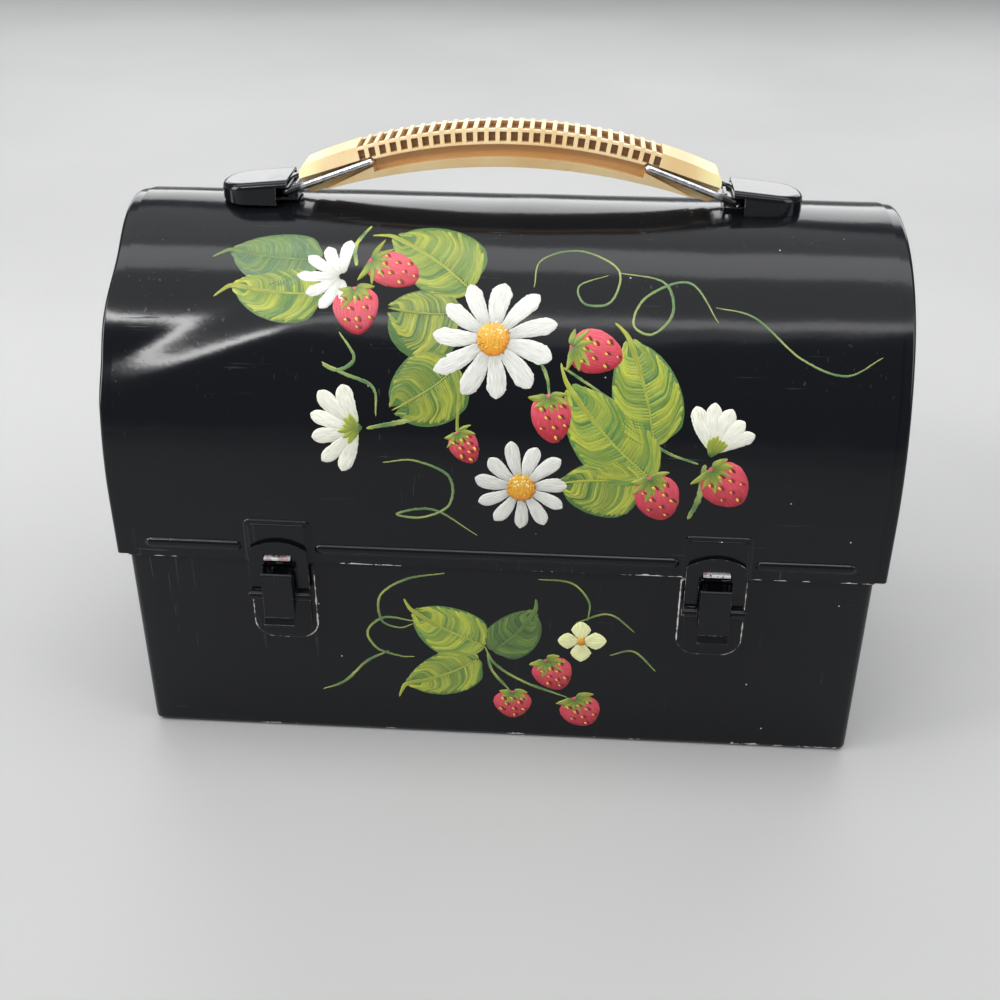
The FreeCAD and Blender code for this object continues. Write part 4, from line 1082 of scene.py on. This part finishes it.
class LUNCHBOX_OT_body(bpy.types.Operator):
    """The body: a rounded tub with pressed latch pads and a folded rim"""
    bl_idname = "lunchbox.body"
    bl_label = "Body"

    def execute(self, context):
        tin = settings("tin")
        radius, half_x, half_y = tin.body_corner, BODY_HALF_X, BODY_HALF_Y
        fold = tin.body_foot
        pads = [(c - PAD_ZONE, c + PAD_ZONE, 0.45) for c in (-LATCH_X, LATCH_X)]
        front = lines(-half_x + radius, half_x - radius, 4.0, pads)
        back = lines(-half_x + radius, half_x - radius, 6.0)
        side = lines(-half_y + radius, half_y - radius, 6.0)
        quarter = np.linspace(0, math.pi / 2, 9)[1:-1]

        def ring(inset):
            """The outline smaller all round by inset, starting at the front left and going right."""
            r = radius - inset
            cx, cy = half_x - radius, half_y - radius
            reach_x, reach_y = half_x - inset, half_y - inset
            runs = []
            for run, x, y, sx, sy in (
                    (front, None, -reach_y, 1, -1), (side, reach_x, None, 1, 1),
                    (back[::-1], None, reach_y, -1, 1), (side[::-1], -reach_x, None, -1, -1)):
                runs.append(np.stack([run if x is None else np.full(run.size, x),
                                      run if y is None else np.full(run.size, y)], -1))
                along_x, along_y = (np.sin, np.cos) if sx != sy else (np.cos, np.sin)
                runs.append(np.stack([sx * (cx + r * along_x(quarter)), sy * (cy + r * along_y(quarter))], -1))
            return np.concatenate(runs)

        heights = lines(fold, RIM_Z - 0.4, 5.0, [(38.5, 71.5, 0.45)])
        foot = np.linspace(0, math.pi / 2, 8)
        outer = [(fold * (1 - math.sin(a)), fold * (1 - math.cos(a))) for a in foot[:-1]]
        outer += [(0.0, z) for z in heights]
        # The folded rim: how far in from the wall, and height.
        rim = [(0.15, RIM_Z - 0.12), (0.4, RIM_Z), (1.4, RIM_Z), (1.7, RIM_Z - 0.2), (1.8, RIM_Z - 0.6),
               (1.8, RIM_Z - 3.3), (1.6, RIM_Z - 3.5), (tin.sheet + 0.02, RIM_Z - 3.5)]
        inner = [(tin.sheet, z) for z in heights[::-1] if z < RIM_Z - 3.6]
        r = fold - tin.sheet
        inner += [(tin.sheet + r * (1 - math.sin(a)), tin.sheet + r * (1 - math.cos(a)))
                  for a in foot[-2::-1]]
        points, wear = [], []
        for inset, z in outer + rim + inner:
            outline = ring(inset)
            press, worn = np.zeros((2, len(outline)))
            if 8 < z < RIM_Z - 3:
                press[:front.size] = body_pressings(front, z)
                d = np.minimum(*[np.abs(body_pad_distance(front - c, z)) for c in (-LATCH_X, LATCH_X)])
                worn[:front.size] = hump(d, 0.45)
            worn += 0.75 * hump(z - 1.3, 1.4) * (inset < 3)
            outline = outline - np.array([0, 1]) * press[:, None]
            points.append(np.column_stack([outline, np.full(len(outline), z)]))
            wear.append(worn)
        rows, columns = len(points), len(points[0])
        faces = grid_faces(rows, columns, closed=True)
        faces.append(tuple(range(columns))[::-1])
        faces.append(tuple((rows - 1) * columns + i for i in range(columns)))
        obj = mesh_object("body_tub", np.concatenate(points), faces, fields={"wear": np.concatenate(wear)})
        first_inside = len(outer) + len(rim) - 3
        index = [1 if i // columns >= first_inside and i < len(faces) - 2 else 0 for i in range(len(faces))]
        index[-1] = 1
        obj.data.polygons.foreach_set("material_index", index)
        turn_outwards(obj)
        obj.data.set_sharp_from_angle(angle=CREASE)
        finished(obj, "body", "body_enamel", tin_finishes(), "body_pan")
        return {"FINISHED"}

class LUNCHBOX_OT_lid(bpy.types.Operator):
    """The lid: a vaulted sheet with ribs, latch pads and a knocked left end, and two pressed ends"""
    bl_idname = "lunchbox.lid"
    bl_label = "Lid"

    def execute(self, context):
        tin = settings("tin")
        half = vault_half_length()
        zones = [(c - PAD_ZONE - 1, c + PAD_ZONE + 1, 0.42) for c in (-LATCH_X, LATCH_X)]
        zones += [(113.5, 118.0, 0.5), (-118.0, -113.5, 0.5)]
        xs = lines(-SEAM_X, SEAM_X, 3.0, zones)
        ss = lines(0, 2 * half, 2.3, [(0, 3.4, 0.5), (3.4, 7.2, 0.22), (7.2, 13.8, 0.6), (13.8, 16.4, 0.2)])
        x, s = np.meshgrid(xs, ss, indexing="ij")
        press = lid_pressings(x, s)
        outer = lid_point(x, s, press)
        inner = lid_point(x, s, press - tin.sheet)
        edge = np.minimum(s, 2 * half - s)
        wear = 0.85 * hump(edge, 0.6)
        for x0, x1 in rib_spans():
            inside = (x > x0) & (x < x1)
            wear = np.maximum(wear, inside * 0.55 * hump(s - tin.rib_up + 0.9, 0.7))
        for centre in (-LATCH_X, LATCH_X):
            for inset, amount in ((0.0, 0.55), (PAD_BORDER, 0.65)):
                wear = np.maximum(wear, amount * hump(lid_pad_distance(x - centre, s, inset, 1.5), 0.4))
        wear = np.maximum(wear, 0.8 * hump(SEAM_X - np.abs(x), 0.6))
        vault = shell("lid_vault", outer, inner, {"wear": wear})
        finished(vault, "lid", "lid_enamel", tin_finishes(), "lid_shell")
        for label, sign in SIDES:
            self.end(label, sign)
        return {"FINISHED"}

    def end(self, label, sign):
        """Pressed end: flange inside the vault, rounded rim and a flat face."""
        tin = settings("tin")
        half = vault_half_length()
        front = np.append(lines(0, half - 1.0, 2.4, [(0, 3.0, 0.5)]), half)
        stations = np.concatenate([front, 2 * half - front[-2::-1]])
        arc = np.linspace(0, math.pi / 2, 9)
        face_x = LID_LENGTH / 2
        r = tin.end_round
        profile = [(face_x - 9.0, tin.sheet + 0.05), (face_x - 7.0, tin.sheet + 0.05)]
        profile += [(face_x - r + r * math.sin(a), tin.sheet + 0.02 + r * (1 - math.cos(a))) for a in arc]
        profile.append((face_x, tin.sheet + r + 0.8))
        grid = []
        for x, inset in profile:
            y, z, ny, nz, _ = vault_section(stations, inset)
            flat = (stations < tin.lid_wall) | (stations > 2 * half - tin.lid_wall)
            y = np.where(flat, vault_section(stations)[0] - ny * inset, y)
            where = np.full(stations.size, sign * min(x, SEAM_X))
            knock = lid_knocks(where, stations)
            grid.append(np.stack([sign * x + end_push(where, stations), y + ny * knock, z + nz * knock], -1))
        grid = np.stack(grid, 1)
        rows, columns = grid.shape[:2]
        faces = grid_faces(rows, columns)
        boundary = grid[:, -1]
        across, count = 25, front.size
        t = np.linspace(0, 1, across)[None, :, None]
        flat_face = boundary[:count, None] * (1 - t) + boundary[::-1][:count, None] * t
        bulge = np.sin(t[..., 0] * math.pi) * np.sin(np.clip(front / half, 0, 1) * math.pi)[:, None]
        ripple = np.sin(flat_face[..., 1] * 0.07 + 0.8) * np.sin(flat_face[..., 2] * 0.06)
        flat_face[..., 0] -= sign * bulge * (0.35 + 0.25 * ripple)
        points = np.concatenate([grid.reshape(-1, 3), flat_face.reshape(-1, 3)])
        faces += grid_faces(count, across, rows * columns)
        z_up = points[:, 2] - LID_EDGE
        rubbed = [0, 0, 0, 0, 0.1, 0.3, 0.45, 0.45, 0.3, 0.1, 0, 0]
        rim = np.concatenate([np.tile(rubbed, rows)[:rows * columns], np.zeros(count * across)])
        wear = np.maximum(0.75 * hump(z_up, 0.6), rim)
        obj = mesh_object("lid_end_" + label + "_pressed", points, faces, fields={"wear": wear})
        turn_outwards(obj, 1e-6)
        lean = sum(p.normal.x * p.area for p in obj.data.polygons if abs(p.normal.x) > 0.9)
        if lean * sign < 0:
            obj.data.flip_normals()
        wall = obj.modifiers.new("Wall", "SOLIDIFY")
        wall.thickness, wall.offset, wall.use_even_offset = tin.sheet * MM, -1, True
        wall.material_offset, wall.material_offset_rim = 1, 0
        for material in tin_finishes():
            obj.data.materials.append(material)
        baked(obj)
        obj.data.set_sharp_from_angle(angle=CREASE)
        finished(obj, "lid", "lid_enamel", (), "lid_end_" + label)


# Node, finish, slot and edge rounding (mm) of each fitting.
FITTINGS = (
    ("latch_base", "small_enamel", "latch_enamel", 0.18),
    ("latch_lever", "small_enamel", "latch_enamel", 0.18),
    ("latch_link", "small_enamel", "latch_enamel", 0.18), ("lid_catch", "catch", "worn_catch", 0.16),
    ("lever_pin", "small_enamel", "pin_steel", 0.12), ("link_pin", "small_enamel", "pin_steel", 0.12),
    ("hinge_body_leaf", "small_enamel", "hinge_enamel", 0.16),
    ("hinge_lid_leaf", "small_enamel", "hinge_enamel", 0.16), ("hinge_pin", "pin", "pin_steel", 0.15),
    ("handle_hood", "small_enamel", "hood_enamel", 0.22),
    ("hood_keeper", "small_enamel", "hood_enamel", 0.16))


class LUNCHBOX_OT_fittings(bpy.types.Operator):
    """Latches, catches, hinges, hoods and their rivets, with rounded and worn edges"""
    bl_idname = "lunchbox.fittings"
    bl_label = "Fittings"

    def execute(self, context):
        for label, _ in SIDES:
            for part, material, slot, bevel in FITTINGS:
                crafted(part + "_" + label, material, slot, bevel)
        crafted("handle_rivets", "pin", "pin_steel", 0.15)
        return {"FINISHED"}

WIRE_SIDES = 20


class LUNCHBOX_OT_handle(bpy.types.Operator):
    """The moulded grip and the two wire bails that carry it"""
    bl_idname = "lunchbox.handle"
    bl_label = "Handle"

    def execute(self, context):
        shape = settings("grip")
        grip = crafted("handle_grip", "plastic", "grip_plastic", 0.28, 28)
        x, y, z = read(grip.data.vertices, "co", 3).T / MM
        centre = box_mm("handle_grip")[1][2] - shape.arch_radius
        drop = shape.arch_radius - np.hypot(x, z - centre)
        # The grip's half width widens with the drop from its top; pockets lie between the ribs.
        outer = np.interp(drop, [0, 4.5, 20], [6.2, 8.5, 8.5])
        depth = outer - np.abs(y)
        # These two masks lay painted shade into the pockets, the deeper the darker.
        pocket = np.where((np.abs(y) < 5.2) & (drop < 3), np.clip(drop / 1.8, 0, 1), 0)
        side_pocket = np.where((drop > 0.8) & (drop < 4.4) & (depth > 0.2), np.clip(depth / 1.8, 0, 1), 0)
        # This mask lays painted shade into the side channels, the deeper the darker.
        channel_shade = np.where((drop >= 4.4) & (drop < 9.2), np.clip(depth / 2.2, 0, 1), 0)
        add_fields(grip.data, {"recess_shade": np.maximum(pocket, side_pocket), "channel_shade": channel_shade})
        for label, sign in SIDES:
            self.bail(label, sign)
        return {"FINISHED"}

    def bail(self, label, sign):
        """Round wire: both ends bent into the grip, two legs and a cross bar."""
        radius = settings("grip").wire_radius
        low, high = box_mm("handle_bail_" + label)
        near, far = sorted((abs(low[0]), abs(high[0])))
        eye = np.array([near + radius, high[2] - radius])
        bar = np.array([far - radius, low[2] + radius])
        span = high[1] - radius
        length = float(np.hypot(*(bar - eye)))
        corners = [(0, 3.4), (0, span), (length, span), (length, -span), (0, -span), (0, -3.4)]
        line = [np.array(corners[0], float)]
        for k, bend in zip(range(1, 5), (1.3, 2.6, 2.6, 1.3)):
            before, at, after = (np.array(corners[k + j], float) for j in (-1, 0, 1))
            into, away = (at - before) / np.hypot(*(at - before)), (after - at) / np.hypot(*(after - at))
            centre = at - into * bend + away * bend
            for a in np.linspace(0, math.pi / 2, 9):
                line.append(centre - away * bend * math.cos(a) + into * bend * math.sin(a))
        line.append(np.array(corners[-1], float))
        line = np.array(line)
        along = np.gradient(line, axis=0)
        along /= np.hypot(*along.T)[:, None]
        turns = np.linspace(0, FULL_TURN, WIRE_SIDES, endpoint=False)
        side = np.stack([-along[:, 1], along[:, 0]], -1)
        flat = line[:, None] + side[:, None] * np.cos(turns)[None, :, None] * radius
        rise = np.broadcast_to(np.sin(turns) * radius, flat.shape[:2])
        run = (bar - eye) / length
        x = eye[0] + flat[..., 0] * run[0] - rise * run[1]
        z = eye[1] + flat[..., 0] * run[1] + rise * run[0]
        points = np.stack([sign * x, flat[..., 1], z], -1).reshape(-1, 3)
        rows = len(line)
        faces = grid_faces(rows, WIRE_SIDES, closed=True)
        faces += [tuple(range(start, start + WIRE_SIDES)) for start in (0, (rows - 1) * WIRE_SIDES)]
        wire = mesh_object("handle_bail_" + label + "_wire", points, faces)
        turn_outwards(wire)
        wire.data.set_sharp_from_angle(angle=CREASE)
        finished(wire, "bail_" + label, "wire_steel", [finish("wire")], "handle_bail_" + label)

class LUNCHBOX_OT_painting(bpy.types.Operator):
    """The flowers, berries, leaves and tendrils painted on the lid and on the body"""
    bl_idname = "lunchbox.painting"
    bl_label = "Painted flowers"

    def execute(self, context):
        garden = Garden()
        self.lid(garden)
        self.body(garden)
        return {"FINISHED"}

    def leaves(self, name, seed, place, body, rows):
        """Rows are base, tip, half width, light, dark, bend, hook and how much wider it is below."""
        painting = Painting(seed)
        for row in rows:
            painting.leaf(*row)
        painting.finished(name, place, body)

    def berries(self, name, seed, place, body, garden, rows):
        """Rows are centre, angle of the narrow end, length, width and a stem's points."""
        painting = Painting(seed)
        for row in rows:
            garden.berry(painting, *row)
        painting.finished(name, place, body)

    def lid(self, garden):
        lime, green = garden.lime, garden.green
        mid_green = green * 0.55 + lime * 0.25
        deep = green * 0.9 + np.array((0.03, 0.05, 0.05))
        self.leaves("painted_leaves_lid", 11, lid_point, "lid", (
            ((-58, 103), (-87, 108), 9.0, mid_green + (0.02, 0.05, 0.03), deep, 1.0, 4.0, 1.1),
            ((-56, 91), (-85, 94), 8.0, lime * 0.9, green * 1.4, 1.0, 4.5, 1.1),
            ((-10, 94), (-35, 113), 12.5, lime * 0.85, green * 1.4, -1.0, 4.0, 0.75),
            ((-13, 86), (-35, 87), 7.0, lime * 0.75, green * 1.2, 1.0, 0, 1.9),
            ((-13, 69), (-33, 55), 10.5, lime * 0.8, green * 1.3, 1.0, 0),
            ((49, 47), (40, 79), 9.5, lime, green * 1.6, -1.0, 3.0),
            ((45, 34), (20, 33), 6.0, lime, green * 1.4, -1.0, 0, 1.9),
            ((48, 36), (22, 64), 10.0, lime * 0.95, green * 1.8, 1.5, -3.0)))

        vines = Painting(12)
        for points, width in (
                (((10, 95), (12, 105), (24, 109), (36, 102), (34, 91), (26, 90), (24, 96), (33, 100)), 0.8),
                (((36, 101), (50, 98), (53, 88), (47, 81), (41, 84), (45, 93), (58, 98), (67, 85)), 0.9),
                (((66, 90), (78, 87), (92, 75), (106, 70), (117, 76)), 0.7),
                (((-50, 79), (-45, 71), (-50, 67), (-55, 69), (-48, 66), (-39, 62), (-38, 53)), 1.2),
                (((-36, 38), (-26, 39), (-15, 34), (-15, 24), (-24, 19), (-32, 20), (-20, 22), (-6, 13)), 0.9)):
            garden.vine(vines, points, width)
        for points, width, tone in (
                (((-46, 101), (-47, 109), (-43, 118)), 1.4, 0.8), (((-22, 60), (-26, 53), (-41, 49)), 1.7, 0.6),
                (((12, 73), (15, 67), (16, 61)), 1.1, 0.5), (((20, 70), (28, 65), (36, 60)), 0.9, 0.5),
                (((49, 47), (54, 44), (63, 41)), 0.9, 0.5), (((65, 41), (64, 30), (61, 22)), 2.0, 0.5)):
            garden.vine(vines, points, width, (0.8, 1, 0.9, 0.6), tone)
        vines.finished("painted_vines_lid", lid_point, "lid")

        flowers = Painting(13)
        garden.daisy(flowers, (-50, 97), 13.5, 1.5, 7, math.radians(85), math.radians(215))
        garden.bud(flowers, (-44, 49), 180, 15, 6, 2.5)
        garden.bud(flowers, (67, 45), 68, 14, 5, 1.5)
        garden.daisy(flowers, (-2, 78), 19.5, 5.2, 11, 0.25)
        garden.daisy(flowers, (8, 31), 15.0, 4.6, 11, 0.1)
        flowers.finished("painted_flowers_lid", lid_point, "lid")

        self.berries("painted_berries_lid", 14, lid_point, "lid", garden, (
            ((-34, 100), -22, 18, 12.5), ((-45, 86), -82, 15.5, 14), ((30, 75), -10, 17, 13.5),
            ((17, 54), -80, 15.5, 12.5), ((-10, 44), -62, 11.5, 9, ((-12, 56), (-8, 66))),
            ((51, 29), -68, 16, 14), ((72, 34), -48, 16, 14.5)))

    def body(self, garden):
        lime, green = garden.lime, garden.green
        self.leaves("painted_leaves_body", 21, body_point, "body", (
            ((-4, 40), (-28, 53), 9.0, lime * 1.1, green * 1.8, 1.0, -3.0),
            ((-1, 38), (13, 55), 7.5, green * 1.3 + lime * 0.15, green * 0.8 + 0.01, -1.5, 3.0),
            ((-6, 34), (-31, 22), 8.0, lime, green * 1.6, 1.5, 4.0)))

        vines = Painting(22)
        for points, width in ((((-17, 69), (-30, 66), (-39, 59), (-39, 49), (-33, 46), (-28, 48)), 0.9),
                              (((-28, 49), (-38, 50), (-44, 44), (-41, 37), (-33, 34), (-28, 34)), 1.0),
                              (((-37, 36), (-45, 31), (-53, 22), (-61, 18)), 1.1),
                              (((14, 68), (25, 67), (31, 60), (31, 52)), 0.8),
                              (((27, 51), (38, 55), (47, 48)), 0.8), (((39, 38), (47, 40), (55, 32)), 0.8),
                              (((-4, 40), (0, 32), (10, 25), (25, 19)), 1.1),
                              (((-3, 37), (-1, 29), (5, 21)), 1.1)):
            garden.vine(vines, points, width, tone=0.7)
        vines.finished("painted_vines_body", body_point, "body")

        flower, middle = Painting(23), (29, 43.5)
        cream = np.array((0.86, 0.87, 0.45))
        petal = garden.petal(7.6, 7.0, 0.0, (cream * 0.9, cream, cream * 1.08, cream * 1.1))
        garden.fan_of(flower, petal, middle, Count=4, Ring=0.6 * MM, Start=0.05, Jitter=0.06)
        flower.blob(middle, 90, 3.4, 2.8, np.array((0.5, 0.16, 0.02)), garden.yellow, 110, lift=0.3)
        flower.finished("painted_flower_body", body_point, "body")

        self.berries("painted_berries_body", 24, body_point, "body", garden, (
            ((20, 29), -65, 14, 13.5), ((6, 15), -88, 12, 13), ((30, 13), -68, 13.5, 14)))


class LUNCHBOX_PT_sidebar(bpy.types.Panel):
    """Lists the pieces and their sizes"""
    bl_idname = "LUNCHBOX_PT_sidebar"
    bl_label = "Lunch box"
    bl_space_type = "VIEW_3D"
    bl_region_type = "UI"
    bl_category = "Lunch box"

    def draw(self, context):
        for operator in OPERATORS:
            self.layout.operator(operator.bl_idname)
        for name in GROUPS:
            group = settings(name)
            column = self.layout.column(heading=name.title())
            for field in group.bl_rna.properties:
                if not field.is_readonly and field.identifier != "name":
                    column.prop(group, field.identifier)


GROUPS = {"tin": LUNCHBOX_PG_tin, "paint": LUNCHBOX_PG_paint, "grip": LUNCHBOX_PG_grip,
          "stage": LUNCHBOX_PG_stage}
OPERATORS = (LUNCHBOX_OT_stage, LUNCHBOX_OT_body, LUNCHBOX_OT_lid, LUNCHBOX_OT_fittings,
             LUNCHBOX_OT_handle, LUNCHBOX_OT_painting)


def register():
    for cls in (*GROUPS.values(), *OPERATORS, LUNCHBOX_PT_sidebar):
        bpy.utils.register_class(cls)
    for name, group in GROUPS.items():
        setattr(bpy.types.Scene, "lunchbox_" + name, bpy.props.PointerProperty(type=group))


def unregister():
    for name in GROUPS:
        delattr(bpy.types.Scene, "lunchbox_" + name)
    for cls in (LUNCHBOX_PT_sidebar, *OPERATORS, *GROUPS.values()):
        bpy.utils.unregister_class(cls)


def main():
    register()
    bpy.ops.lunchbox.stage()
    bpy.ops.lunchbox.body()
    bpy.ops.lunchbox.lid()
    bpy.ops.lunchbox.fittings()
    bpy.ops.lunchbox.handle()
    bpy.ops.lunchbox.painting()


if __name__ == "__main__":
    main()
